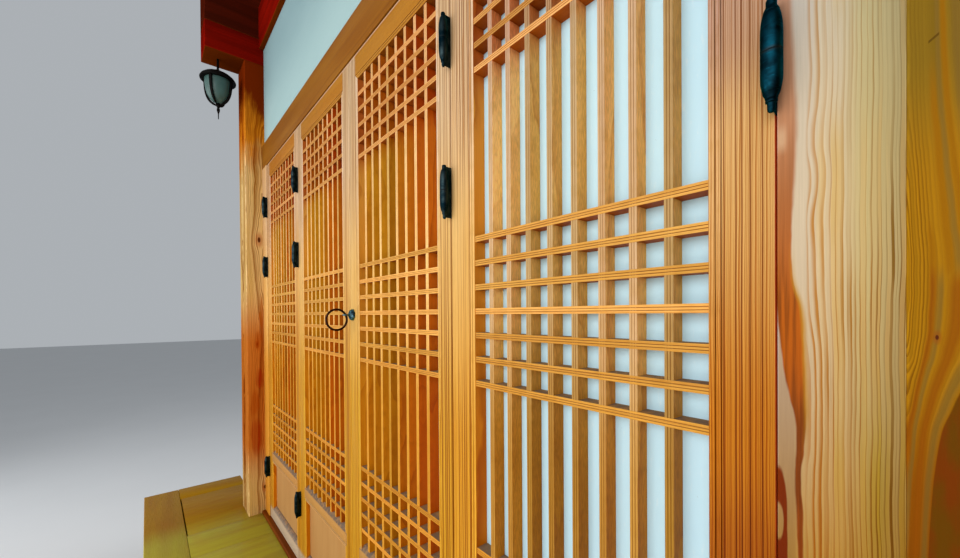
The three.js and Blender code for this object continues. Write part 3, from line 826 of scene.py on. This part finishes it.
def granite_finish():
    material, shader, place = new_material("chiselled_granite", 0.8)
    specks = noise(place, 420.0, 2.0, 0.7)
    colour = mix(noise(place, 9.0, 4.0), (0.40, 0.385, 0.36), (0.50, 0.49, 0.47))
    colour = mix(ease(specks, 0.62, 0.70), colour, (0.10, 0.10, 0.105))
    colour = mix(ease(specks, 0.38, 0.30), colour, (0.72, 0.70, 0.66))
    colour = tint(colour, ease(attribute(place, "bar"), 0.0, 1.0, 0.86, 1.10))
    chisel = Signal(add_node("TexVoronoi", {"Vector": place, "Scale": 55.0}).outputs["Distance"])
    coat(shader, colour, specks * 0.25 + chisel, 0.0025, 0.8)
    return material


def plaster_finish():
    material, shader, place = new_material("lime_plaster", 0.9)
    trowel = noise(place, (3.0, 3.0, 8.0), 4.0, 0.6)
    grit = noise(place, 320.0, 3.0, 0.7)
    # The bluish grey is partly painted shade of the eaves, and it darkens towards the top as painted shade
    colour = mix(trowel, (0.300, 0.450, 0.455), (0.350, 0.495, 0.495))
    colour = tint(colour, (0.65, 0.70, 0.74), ease(split(place)[2], 2.72, 3.20))
    colour = mix(ease(grit, 0.55, 0.8), colour, (0.27, 0.38, 0.39))
    coat(shader, colour, grit * 0.12 + trowel, 0.0015, 0.5)
    return material


def paper_finish():
    """Mulberry paper: pale and cool, with long fibres and a few dark flecks."""
    material, shader, place = new_material("mulberry_paper", 0.9)
    fibres = noise(place, (160.0, 160.0, 45.0), 4.0, 0.7)
    colour = mix(noise(place, (3.0, 3.0, 2.0), 3.0), (0.47, 0.72, 0.85), (0.54, 0.78, 0.88))
    colour = mix(ease(fibres, 0.55, 0.75, 0.0, 0.35), colour, (0.72, 0.83, 0.86))
    colour = mix(ease(noise(place, 230.0, 1.0), 0.795, 0.81, 0.0, 0.8), colour, (0.06, 0.05, 0.04))
    coat(shader, colour, fibres, 0.0002, 0.5)
    return material


def iron_finish(name, dark, sheen, rub, roughness, far_sheen):
    """Blackened iron: blue-black patina, scuffs around it, and brown rub where it turns."""
    material, shader, place = new_material(name, Metallic=1.0, Specular_Tint=(0.25, 0.60, 0.75))
    cloud = noise(place, 45.0, 3.0)
    scuffs = noise(place, (60.0, 60.0, 420.0), 3.0, 0.6)
    sheen = mix(ease(split(place)[0], 0.75, 1.1), far_sheen, sheen)
    colour = mix(ease(cloud, 0.35, 0.65), dark, sheen)
    colour = mix(ease(scuffs, 0.60, 0.75, 0.0, 0.7), colour, tint(sheen, (1.7, 1.6, 1.5)))
    colour = mix(attribute(place, "rub") * ease(cloud, 0.3, 0.6, 0.5, 1.0), colour, rub)
    coat(shader, colour, scuffs * 0.5 + cloud, 0.0004, 0.5,
         ease(scuffs, 0.3, 0.7, roughness + 0.10, roughness - 0.08))
    return material


def lantern_metal_finish():
    material, shader, place = new_material("lantern_metal", Specular_IOR_Level=0.05)
    cloud = noise(place, 60.0, 3.0)
    colour = mix(cloud, (0.002, 0.0018, 0.0015), (0.006, 0.004, 0.003))
    coat(shader, colour, cloud, 0.0004, 0.4, ease(cloud, 0.3, 0.7, 0.42, 0.60))
    return material


def lantern_glass_finish():
    material, shader, place = new_material("frosted_glass", 0.35, IOR=1.45)
    cloud = noise(place, 22.0, 3.0)
    # Dark greenish grey: the frosted glass's colour darkened as painted shade of the eaves
    colour = mix(cloud, (0.035, 0.085, 0.075), (0.070, 0.140, 0.125))
    coat(shader, colour, cloud, 0.0006, 0.3, ease(cloud, 0.3, 0.7, 0.28, 0.42))
    return material


# Meshes

def new_shape():
    """An empty bmesh with the marks that the finishes read."""
    bm = bmesh.new()
    for mark in ("arris", "groove", "bar", "rub"):
        bm.verts.layers.float.new(mark)
    return bm


def put_mark(bm, name, verts, value):
    layer = bm.verts.layers.float[name]
    for vert in verts:
        vert[layer] = value


def marked_vert(bm, place, mark):
    """A vertex on an arris where its mark is above zero, and in a groove where it is below."""
    vert = bm.verts.new(place)
    put_mark(bm, "arris", [vert], max(mark, 0.0))
    put_mark(bm, "groove", [vert], max(-mark, 0.0))
    return vert


def verts_among(items):
    return [item for item in items if isinstance(item, bmesh.types.BMVert)]


def edges_among(items):
    return [item for item in items if isinstance(item, bmesh.types.BMEdge)]


def edges_at(verts):
    return list({edge for vert in verts for edge in vert.link_edges})


def turn_verts(bm, verts, degrees, axis):
    turn = Matrix.Rotation(math.radians(degrees), 3, axis)
    bmesh.ops.rotate(bm, cent=(0, 0, 0), matrix=turn, verts=verts)


def draw_out(bm, face, shift):
    """Extrudes a face by a vector; the vertices that moved."""
    drawn = bmesh.ops.extrude_face_region(bm, geom=[face], use_keep_orig=True)["geom"]
    moved = verts_among(drawn)
    bmesh.ops.translate(bm, vec=shift, verts=moved)
    return moved


def round_edges(bm, verts, rounding, segments):
    return bmesh.ops.bevel(bm, geom=edges_at(verts), offset=rounding, offset_type="OFFSET", affect="EDGES",
                           segments=segments, profile=0.5, material=-1, clamp_overlap=True)


def finish_piece(bm, name, material, smooth=True, angle=35.0):
    """The bmesh as an object at the origin, with soft shading up to an angle."""
    mesh = bpy.data.meshes.new(name)
    bm.to_mesh(mesh)
    bm.free()
    mesh.materials.append(material)
    if smooth:
        mesh.shade_smooth()
        mesh.set_sharp_from_angle(angle=math.radians(angle))
    piece = bpy.data.objects.new(name, mesh)
    bpy.context.scene.collection.objects.link(piece)
    return piece


def hand_over(bm, name, material, slot, *replaced, body=WALL, angle=35.0):
    """The finished piece, its faces turned outwards, on its body; its slot is not used."""
    bmesh.ops.recalc_face_normals(bm, faces=bm.faces)
    piece = finish_piece(bm, name, material, angle=angle)
    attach(piece, body)
    if replaced:
        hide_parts(*replaced)


def add_block(bm, low, high, rounding, segments=3, lot=0.0):
    """A squared timber or stone with rounded arrises; its arrises are marked for wear and a painted
    highlight.
    """
    low, high = Vector(low), Vector(high)
    made = bmesh.ops.create_cube(bm, size=1.0)["verts"]
    bmesh.ops.scale(bm, vec=high - low, verts=made)
    bmesh.ops.translate(bm, vec=(high + low) / 2, verts=made)
    rounded = round_edges(bm, made, rounding, segments)
    verts = set(rounded["verts"])
    flats = {face for vert in verts for face in vert.link_faces} - set(rounded["faces"])
    border = {vert for face in flats for vert in face.verts}
    put_mark(bm, "arris", verts - border, 1.0)
    put_mark(bm, "bar", border | verts, lot)


def add_slab(bm, outline, bottom, top, rounding, lot):
    """A board of any outline with rounded arrises."""
    face = bm.faces.new([bm.verts.new((x, y, bottom)) for x, y in outline])
    verts = list(face.verts) + draw_out(bm, face, (0.0, 0.0, top - bottom))
    put_mark(bm, "bar", verts, lot)
    round_edges(bm, verts, rounding, 2)


def extrude_section(bm, section, along, start, end, marks, lot=0.0):
    """A closed section, its points (across, inward), drawn out along an axis and capped."""
    turn = {"x": lambda u, v, w: (w, v, u), "z": lambda u, v, w: (u, v, w)}[along]
    verts = [marked_vert(bm, turn(u, v, start), mark) for (u, v), mark in zip(section, marks)]
    put_mark(bm, "bar", verts, lot)
    draw_out(bm, bm.faces.new(verts), Vector(turn(0.0, 0.0, end - start)))


def spin_round(bm, verts, steps):
    """Spins a line of vertices once about Z; all vertices of what it makes."""
    bmesh.ops.spin(bm, geom=verts + edges_at(verts), cent=(0, 0, 0), axis=(0, 0, 1), angle=2 * math.pi,
                   steps=steps, use_merge=True, use_duplicate=False)
    reached, latest = set(verts), set(verts)
    while latest:
        latest = {edge.other_vert(vert) for vert in latest for edge in vert.link_edges} - reached
        reached |= latest
    return list(reached)


def spin_profile(bm, profile, centre, steps, rub=None):
    """A turned piece: (radius, height) points spun about an upright axis, on which its ends lie."""
    made = [bm.verts.new((radius, 0.0, height)) for radius, height in profile]
    for vert in made:
        put_mark(bm, "rub", [vert], rub(vert.co.z) if rub else 0.0)
    for pair in zip(made, made[1:]):
        bm.edges.new(pair)
    reached = spin_round(bm, made, steps)
    bmesh.ops.remove_doubles(bm, verts=reached, dist=1e-6)
    reached = [vert for vert in reached if vert.is_valid]
    bmesh.ops.translate(bm, vec=centre, verts=reached)
    return reached


def add_torus(bm, centre, radius, wire_radius, tilt, steps, sides):
    """A ring of round wire, tilted about Y."""
    circle = bmesh.ops.create_circle(bm, cap_ends=False, segments=sides, radius=wire_radius)["verts"]
    turn_verts(bm, circle, 90.0, "X")
    bmesh.ops.translate(bm, vec=(radius, 0, 0), verts=circle)
    reached = spin_round(bm, circle, steps)
    turn_verts(bm, reached, tilt, "Y")
    bmesh.ops.translate(bm, vec=centre, verts=reached)


# Timbers

def timber(name, material, rounding, slot="pine", segments=4):
    """One straight timber in its node's place."""
    bm = new_shape()
    add_block(bm, *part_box(name), rounding, segments)
    hand_over(bm, name + "_wood", material, slot, name)


def build_timbers():
    timber("left_post", left_post_pine(), 0.005)
    timber("right_post", right_post_pine(), 0.0022)
    wood = ((0.74, 0.44, 0.14), (0.70, 0.38, 0.10), (0.58, 0.22, 0.03))
    left_jamb = pine("left_jamb_pine", "z", wood, pith=(-1.1, 0.25), spacing=0.0050, wander=0.03, seed=5.0,
                     depth=0.40)
    timber("left_jamb", left_jamb, 0.0025)
    timber("right_jamb", jamb_pine(), 0.0016)
    wood = ((0.285, 0.110, 0.010), (0.235, 0.080, 0.006), (0.145, 0.038, 0.002))
    lintel = pine("lintel_pine", "x", wood, pith=(2.2, 0.4), spacing=0.0065, wander=0.05, seed=2.0,
                  depth=0.40, tone=False)
    timber("lintel", lintel, 0.003)
    timber("head_beam", beam_pine("head_beam_pine", "x", (3.1, 0.3)), 0.006, "dark_pine")
    head = beam_pine("beam_head_pine", "y", (-1.2, 3.0))
    for name in ("left_beam_head", "right_beam_head"):
        bm = new_shape()
        low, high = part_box(name)
        # The upper timber's lot of one makes beam_pine paint it darker, as painted shade
        add_block(bm, low, (high.x, high.y, HEAD_SEAM - FIT), 0.005, 4, 0.0)
        add_block(bm, (low.x, low.y, HEAD_SEAM + FIT), high, 0.005, 4, 1.0)
        hand_over(bm, name + "_wood", head, "dark_pine", name)


def build_sill():
    """The sill's front arris, paler from wear and a painted highlight, and its weathered drip."""
    low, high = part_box("door_sill")
    front, back, bottom, top = low.y, high.y, low.z, high.z
    section = [(bottom + 0.003, front), (bottom, front + 0.003), (bottom, back), (top, back)]
    rounded = 0.010
    for step in range(7):
        turn = math.radians(90.0 * step / 6)
        section.append((top - rounded + rounded * math.cos(turn), front + rounded - rounded * math.sin(turn)))
    marks = [0.0] * 4 + [0.0, 0.4, 0.8, 1.0, 0.8, 0.4, 0.0]
    bm = new_shape()
    extrude_section(bm, section, "x", low.x, high.x, marks)
    wood = ((0.185, 0.041, 0.001), (0.135, 0.025, 0.001), (0.07, 0.013, 0.001))
    material = pine("sill_pine", "x", wood, pith=(0.9, 0.3), spacing=0.0048, wander=0.03, seed=3.0,
                    depth=0.65, tone=False, gloss=0.05)
    hand_over(bm, "door_sill_wood", material, "pine", "door_sill")


# Door leaves

def moulding_section():
    """The moulded edge around an opening, as (distance from the opening, depth, mark), front first."""
    section = []
    for start, end, low, high in ((0.0, 0.0074, 0.0012, 0.0008), (0.0088, 0.0148, 0.0006, 0.0002)):
        for share in (0.0, 0.08, 0.25, 0.5, 0.75, 0.92, 1.0):
            drop = 0.0008 * abs(2 * share - 1) ** 3
            depth = LEAF_FRONT + low + (high - low) * share + drop
            # Bead crests are marked for wear and a painted highlight; the quirk after each bead is marked as
            # a groove, for painted shade
            section.append((start + (end - start) * share, depth, 0.7 if 0.2 < share < 0.8 else 0.0))
        section.append((end + 0.0007, LEAF_FRONT + 0.0036, -1.0))
    section += [(MOULDING, LEAF_FRONT + 0.0004, 0.0), (MOULDING, LEAF_BACK, 0.0), (0.0, LEAF_BACK, 0.0)]
    return section


def add_moulding(bm, centre_x, bottom, top):
    """Beads up the sides and along the top of an opening, mitred above, and a sloping sill below."""
    corner = [marked_vert(bm, (centre_x + LEAF_CLEAR + distance, depth, top + distance), mark)
              for distance, depth, mark in moulding_section()]
    first = [bm.edges.new((corner[i - 1], corner[i])) for i in range(len(corner))]
    drawn = bmesh.ops.extrude_edge_only(bm, edges=first)["geom"]
    about = Matrix.Translation((-centre_x, 0.0, 0.0))
    bmesh.ops.scale(bm, vec=(-1, 1, 1), verts=verts_among(drawn), space=about)
    under = bottom - MOULDING
    for loop in (first, edges_among(drawn)):
        foot = bmesh.ops.extrude_edge_only(bm, edges=loop)["geom"]
        for vert in verts_among(foot):
            vert.co.z = under
        bmesh.ops.contextual_create(bm, geom=edges_among(foot))
    slope = [(under, LEAF_FRONT), (under + 0.0008, LEAF_FRONT), (bottom - 0.0010, SILL_BACK),
             (bottom, SILL_BACK + 0.0015), (bottom, LEAF_BACK), (under, LEAF_BACK)]
    marks = [0.0, 0.6, 0.6, 0.0, 0.0, 0.0]
    extrude_section(bm, slope, "x", centre_x - LEAF_CLEAR, centre_x + LEAF_CLEAR, marks)


def build_leaves():
    # Each leaf: depth of the lines on its left and right stile, its wood, its painted warm bounce low down,
    # and its right stile's tints high and low
    leaves = {
        1: (0.55, 0.60, ((0.76, 0.44, 0.135), (0.68, 0.35, 0.08), (0.46, 0.16, 0.02)), FAR_AMBER_BOUNCE, PLAIN, PLAIN),
        2: (0.45, 0.60, ((0.73, 0.44, 0.140), (0.67, 0.38, 0.10), (0.46, 0.17, 0.02)), FAR_AMBER_BOUNCE, PLAIN, PLAIN),
        3: (0.45, 0.75, ((0.73, 0.45, 0.140), (0.67, 0.38, 0.10), (0.44, 0.16, 0.02)), FAR_AMBER_BOUNCE, PLAIN, PLAIN),
        4: (0.70, 1.15, ((0.74, 0.45, 0.140), (0.68, 0.37, 0.09), (0.42, 0.14, 0.012)), NEAR_AMBER_BOUNCE,
            (0.89, 0.86, 0.95), (0.76, 0.53, 0.19)),
    }
    wood = ((0.47, 0.255, 0.092), (0.43, 0.22, 0.075), (0.40, 0.17, 0.045))
    panels = pine("panel_pine", "z", wood, pith=(2.4, 0.5), spacing=0.009, wander=0.08, seed=7.0, depth=0.25,
                  tone=False)
    paper = paper_finish()
    inner = LEAF_CLEAR + MOULDING
    for leaf, tones in leaves.items():
        centre = (leaf - 2.5) * LEAF_STEP
        left_shift, right_shift = EDGE_SHIFTS[leaf]
        bm = new_shape()
        blocks = [(centre - LEAF_HALF + left_shift, centre - inner, LEAF_BOTTOM, LEAF_TOP),
                  (centre + inner, centre + LEAF_HALF + right_shift, LEAF_BOTTOM, LEAF_TOP)]
        for bottom, top in ((LEAF_BOTTOM, PANEL_BOTTOM - MOULDING),
                            (PANEL_TOP + MOULDING, LATTICE_BOTTOM - MOULDING),
                            (LATTICE_TOP + MOULDING, LEAF_TOP)):
            blocks.append((centre - inner, centre + inner, bottom, top))
        for left, right, bottom, top in blocks:
            add_block(bm, (left, LEAF_FRONT, bottom), (right, LEAF_BACK, top), 0.0011, 2)
        add_moulding(bm, centre, PANEL_BOTTOM, PANEL_TOP)
        add_moulding(bm, centre, LATTICE_BOTTOM, LATTICE_TOP)
        hand_over(bm, f"leaf_{leaf}_moulded_frame", leaf_pine(leaf, *tones), "pine", f"leaf_{leaf}_frame")
        nodes[f"leaf_{leaf}_paper"].material_slots[0].material = paper
        nodes[f"leaf_{leaf}_panel"].material_slots[0].material = panels


def bar_section(front):
    """A bar's section: small beads on its front, as (across, inward) with marks for wear and a painted
    highlight on the crests, and for painted shade in the grooves.
    """
    section, marks = [], []
    width = BAR / BEADS
    for bead in range(BEADS):
        left = -BAR / 2 + bead * width
        shares = (0.0, 0.14, 0.5, 0.86) if bead < BEADS - 1 else (0.0, 0.14, 0.5, 0.86, 1.0)
        for share in shares:
            edge = share in (0.0, 1.0)
            outer = abs(left + share * width) > BAR / 2 - 0.0001
            depth = (0.0006 if outer else 0.0013) if edge else 0.0002 * (2 * share - 1) ** 2 * 4
            section.append((left + share * width, front + depth))
            marks.append((1.0 if outer else -1.0) if edge else (0.7 if share == 0.5 else 0.3))
    return section + [(BAR / 2, BAR_BACK), (-BAR / 2, BAR_BACK)], marks + [0.0, 0.0]


def lay_bars(name, wood, front, along, middles, start, end, *replaced):
    """Bars side by side, each with a lot of its own."""
    bm = new_shape()
    section, marks = bar_section(front)
    for middle in middles:
        placed = [(middle + u, v) for u, v in section]
        extrude_section(bm, placed, along, start + FIT, end - FIT, marks, chance.random())
    hand_over(bm, name, wood, "pine", *replaced)


def build_lattices():
    wood = ((0.77, 0.40, 0.085), (0.66, 0.315, 0.058), (0.42, 0.14, 0.016))
    rows_wood = bar_pine("row_pine", "x", wood, 0.0)
    wood = ((0.82, 0.51, 0.15), (0.70, 0.40, 0.10), (0.46, 0.17, 0.02))
    uprights_wood = bar_pine("upright_pine", "z", wood, 1.0)
    levels = [LATTICE_CENTRE + row * PITCH for row in ROWS]
    for leaf in range(1, 5):
        centre = (leaf - 2.5) * LEAF_STEP
        lay_bars(f"leaf_{leaf}_lattice_rows", rows_wood, 0.0, "x", levels, centre - LEAF_CLEAR,
                 centre + LEAF_CLEAR, f"leaf_{leaf}_lattice")
        places = [centre + (i - (UPRIGHTS - 1) / 2) * PITCH for i in range(UPRIGHTS)]
        lay_bars(f"leaf_{leaf}_lattice_uprights", uprights_wood, 0.0009, "z", places, LATTICE_BOTTOM,
                 LATTICE_TOP)


# Ironwork

def build_hinges():
    profile = [(0.0, -0.0670), (0.0026, -0.0668), (0.0036, -0.0655), (0.0042, -0.0620), (0.0042, -0.0575),
               (0.0046, -0.0566), (0.0058, -0.0558), (0.0060, -0.0545), (0.0057, -0.0532), (0.0051, -0.0528),
               (0.0057, -0.0524), (0.0063, -0.0512), (0.0063, -0.0500), (0.0078, -0.0470), (0.0084, -0.0455),
               (0.0081, -0.0450), (0.0085, -0.0445), (0.0097, -0.0385), (0.0105, -0.0335), (0.0108, -0.0280),
               (0.0108, -0.0040), (0.0107, -0.0009), (0.0100, 0.0), (0.0107, 0.0009), (0.0108, 0.0040),
               (0.0108, 0.0230), (0.0105, 0.0300), (0.0098, 0.0365), (0.0088, 0.0420), (0.0079, 0.0450),
               (0.0076, 0.0456), (0.0078, 0.0462), (0.0066, 0.0492), (0.0056, 0.0508), (0.0054, 0.0525),
               (0.0054, 0.0580), (0.0048, 0.0594), (0.0034, 0.0604), (0.0, 0.0605)]
    iron = iron_finish("hinge_iron", (0.0022, 0.010, 0.015), (0.0030, 0.048, 0.075), (0.020, 0.030, 0.034),
                       0.42, (0.024, 0.040, 0.044))
    plate_half, plate_back, plate_below, plate_above = 0.0012, 0.030, 0.063, 0.058
    rubbed = 0.004
    for line, x in HINGE_LINES.items():
        for level, z in HINGE_HEIGHTS.items():
            bm = new_shape()
            spin_profile(bm, profile, (x, HINGE_AXIS_Y, z), 36, lambda h: max(0.0, 1.0 - abs(h) / rubbed))
            add_block(bm, (x - plate_half, HINGE_AXIS_Y, z - plate_below),
                      (x + plate_half, plate_back, z + plate_above), 0.0005, 2)
            name = f"{line}_{level}_hinge"
            hand_over(bm, name + "_iron", iron, "black_iron", name, angle=30.0)


def build_ring_pull():
    iron = iron_finish("ring_staple_iron", (0.012, 0.020, 0.026), (0.06, 0.15, 0.19), (0.06, 0.05, 0.045),
                       0.26, (0.13, 0.26, 0.32))
    worn_iron = iron_finish("ring_iron", (0.012, 0.004, 0.003), (0.060, 0.022, 0.016), (0.06, 0.05, 0.045),
                            0.34, (0.055, 0.020, 0.014))
    bm = new_shape()
    rosette = [(0.0, 0.0), (0.0196, 0.0), (0.0208, 0.0007), (0.0210, 0.0020), (0.0207, 0.0035),
               (0.0198, 0.0055), (0.0182, 0.0082), (0.0160, 0.0105), (0.0136, 0.0118), (0.0116, 0.0119),
               (0.0106, 0.0124), (0.0100, 0.0134), (0.0088, 0.0146), (0.0070, 0.0158), (0.0045, 0.0164),
               (0.0, 0.0165)]
    petals = spin_profile(bm, rosette, (0, 0, 0), 48)
    inner, width, lobes, dent = 0.012, 0.009, 8, 0.16
    for vert in petals:
        spread = Vector((vert.co.x, vert.co.y)).length
        if spread > inner:
            turn = math.atan2(vert.co.y, vert.co.x)
            shrink = 1.0 - dent * (0.5 + 0.5 * math.cos(lobes * turn)) ** 2 * (spread - inner) / width
            vert.co.x *= shrink
            vert.co.y *= shrink
    turn_verts(bm, petals, 90.0, "X")
    bmesh.ops.translate(bm, vec=(RING_X, LEAF_FRONT - FIT, EYE_CENTRE.z), verts=petals)
    add_torus(bm, EYE_CENTRE, EYE_RADIUS, EYE_WIRE, 0.0, 40, 14)
    hand_over(bm, "ring_staple_iron", iron, "black_iron", "ring_staple", angle=30.0)
    bm = new_shape()
    add_torus(bm, RING_CENTRE, RING_RADIUS, RING_WIRE, 90.0, 72, 16)
    hand_over(bm, "door_ring_iron", worn_iron, "black_iron", "door_ring", body=PULL)


# Lantern

GLASS_LINE = [(0.007, 2.9200), (0.022, 2.926), (0.036, 2.936), (0.048, 2.950), (0.057, 2.967),
              (0.0635, 2.988), (0.0675, 3.012), (0.0695, 3.036), (0.070, 3.0567)]


def build_lantern():
    bm = new_shape()
    glass, upright_from = 0.003, 0.060
    inside = [(max(r - glass, 0.004), z + (0.0 if r > upright_from else glass)) for r, z in GLASS_LINE[1:]]
    profile = [(0.0, 2.9200)] + GLASS_LINE + inside[::-1] + [(0.0, 2.924)]
    spin_profile(bm, profile, LANTERN, 64)
    hand_over(bm, "lantern_glass_bowl", lantern_glass_finish(), "frosted_glass", "lantern_glass", angle=60.0)
    bm = new_shape()
    cap = [(0.0, 3.0572), (0.086, 3.0572), (0.0905, 3.0558), (0.0928, 3.0556), (0.0938, 3.0585),
           (0.0938, 3.0625), (0.0915, 3.0670), (0.0880, 3.0715), (0.0872, 3.0740), (0.0850, 3.0765),
           (0.0700, 3.0890), (0.0480, 3.1010), (0.0300, 3.1075), (0.0255, 3.1093), (0.0235, 3.1120),
           (0.0165, 3.1145), (0.0150, 3.1165), (0.0130, 3.1218), (0.0080, 3.1252), (0.0062, 3.1275),
           (0.0060, 3.1897), (0.0, 3.1897)]
    spin_profile(bm, cap, LANTERN, 64)
    finial = [(0.0, 2.8262), (0.0014, 2.8268), (0.0022, 2.8290), (0.0026, 2.8420), (0.0030, 2.8580),
              (0.0042, 2.8640), (0.0062, 2.8700), (0.0083, 2.8780), (0.0086, 2.8830), (0.0080, 2.8890),
              (0.0060, 2.8940), (0.0066, 2.8965), (0.0100, 2.9020), (0.0128, 2.9090), (0.0130, 2.9180),
              (0.0, 2.9196)]
    spin_profile(bm, finial, LANTERN, 40)
    # Ribs follow the glass, a little off it
    rib_angles, rib_width, gap = (-36, 54, 144, 234), 9.0, 0.0015
    inner = [(r + gap, z - gap) for r, z in GLASS_LINE[1:]]
    outer = [(r + 0.012, z - 0.011 + 0.0013 * i) for i, (r, z) in enumerate(GLASS_LINE[1:])]
    loop = [(0.006, 2.911)] + inner + [(0.0715, 3.059), (0.0825, 3.059)] + outer[::-1] + [(0.006, 2.903)]
    for degrees in rib_angles:
        verts = [bm.verts.new((r, 0.0, z)) for r, z in loop]
        face = bm.faces.new(verts)
        turn_verts(bm, verts, degrees - rib_width / 2, "Z")
        moved = draw_out(bm, face, (0.0, 0.0, 0.0))
        turn_verts(bm, moved, rib_width, "Z")
        bmesh.ops.translate(bm, vec=LANTERN, verts=verts + moved)
    metal = lantern_metal_finish()
    hand_over(bm, "lantern_cap_and_ribs", metal, "lantern_metal", "lantern_frame", angle=40.0)


# Porch

def build_porch():
    low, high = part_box("porch_edge_beam")
    bm = new_shape()
    back, ledge = -0.4075, 0.3677
    add_block(bm, low, (high.x, back, high.z), 0.004, 3, 0.5)
    add_block(bm, (low.x, back - 0.02, low.z), (high.x, high.y, ledge), 0.002, 2, 0.5)
    edge_wood = porch_pine("porch_edge_pine", "x", 2.0)
    hand_over(bm, "porch_edge_beam_wood", edge_wood, "porch_pine", "porch_edge_beam")
    bm = new_shape()
    rear, under, shoulder, batten, far_seam = -0.0283, 0.368, -POST_HALF - FIT, 0.330, -1.940
    board_front, far_board_front, board_gap = -0.4065, -0.4015, 0.0005
    seams = [PORCH_LEFT, far_seam, -1.360, -1.090, -0.760, -0.430, -0.100, 0.230, 0.560, 0.890, 1.220,
             PORCH_RIGHT]
    for left, right in zip(seams, seams[1:]):
        front = far_board_front if left == far_seam else board_front
        a, b = left + board_gap, right - board_gap
        outline = [(a, front), (b, front)]
        for post in (POST_CENTRE, -POST_CENTRE):
            near, far = post - POST_HALF - FIT, post + POST_HALF + FIT
            if a < near < b:
                outline += [(b, rear), (far, rear), (far, shoulder)] if far < b else [(b, shoulder)]
                outline += [(near, shoulder), (near, rear), (a, rear)]
        if len(outline) == 2:
            outline += [(b, rear), (a, rear)]
        add_slab(bm, outline, under, PORCH_TOP, 0.0008, chance.random())
    half, batten_front, ledger_front = 0.035, -0.3832, -0.075
    for x in (-1.894, -0.281, 1.331):
        add_block(bm, (x - half, batten_front, batten), (x + half, ledger_front - FIT, under), 0.002, 2, 0.4)
    for a, b in ((PORCH_LEFT, -POST_CENTRE - POST_HALF - FIT), (-BETWEEN_POSTS, BETWEEN_POSTS)):
        add_block(bm, (a, ledger_front, batten), (b, rear, under), 0.002, 2, 0.3)
    board_wood = porch_pine("porch_board_pine", "y", 5.0)
    hand_over(bm, "porch_floor_boards", board_wood, "porch_pine", "porch_boards")
    leg_wood = porch_pine("porch_leg_pine", "z", 7.0)
    for where in ("left", "middle", "right"):
        timber(f"{where}_porch_leg", leg_wood, 0.004, "porch_pine", 3)


def build_footing():
    """Dressed granite blocks in two courses, with a plinth stone under each post."""
    bm = new_shape()
    low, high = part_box("stone_footing")
    front, back, top, end = -0.075, 0.092, 0.3297, BETWEEN_POSTS
    mortar, courses, blocks = 0.006, 2, 5
    plinth_half, plinth_top = 0.150, 0.1197
    height = (top + mortar) / courses
    # A core closes the joints behind the blocks' faces
    core_low = (-end + 0.01, front + mortar, 0.0)
    core_high = (end - 0.01, back - mortar, top - 0.004)
    add_block(bm, core_low, core_high, 0.001, 2, 0.9)
    for course in range(courses):
        count = blocks + course
        cuts = [-end + 2 * end * (i + 0.12 * chance.uniform(-1, 1)) / count for i in range(1, count)]
        cuts = [-end - mortar / 2] + cuts + [end + mortar / 2]
        bottom = course * height
        for left, right in zip(cuts, cuts[1:]):
            corner = (left + mortar / 2, front, bottom)
            opposite = (right - mortar / 2, back, bottom + height - mortar)
            add_block(bm, corner, opposite, 0.006, 3, chance.random())
    for post in (-POST_CENTRE, POST_CENTRE):
        corner = (post - plinth_half, low.y, 0.0)
        opposite = (post + plinth_half, high.y, plinth_top)
        add_block(bm, corner, opposite, 0.010, 4, chance.random())
    hand_over(bm, "stone_footing_blocks", granite_finish(), "granite", "stone_footing")


make_camera()
make_lights()
make_floor()
build_timbers()
build_sill()
build_leaves()
build_lattices()
build_hinges()
build_ring_pull()
build_lantern()
build_porch()
build_footing()
nodes["plaster_panel"].material_slots[0].material = plaster_finish()
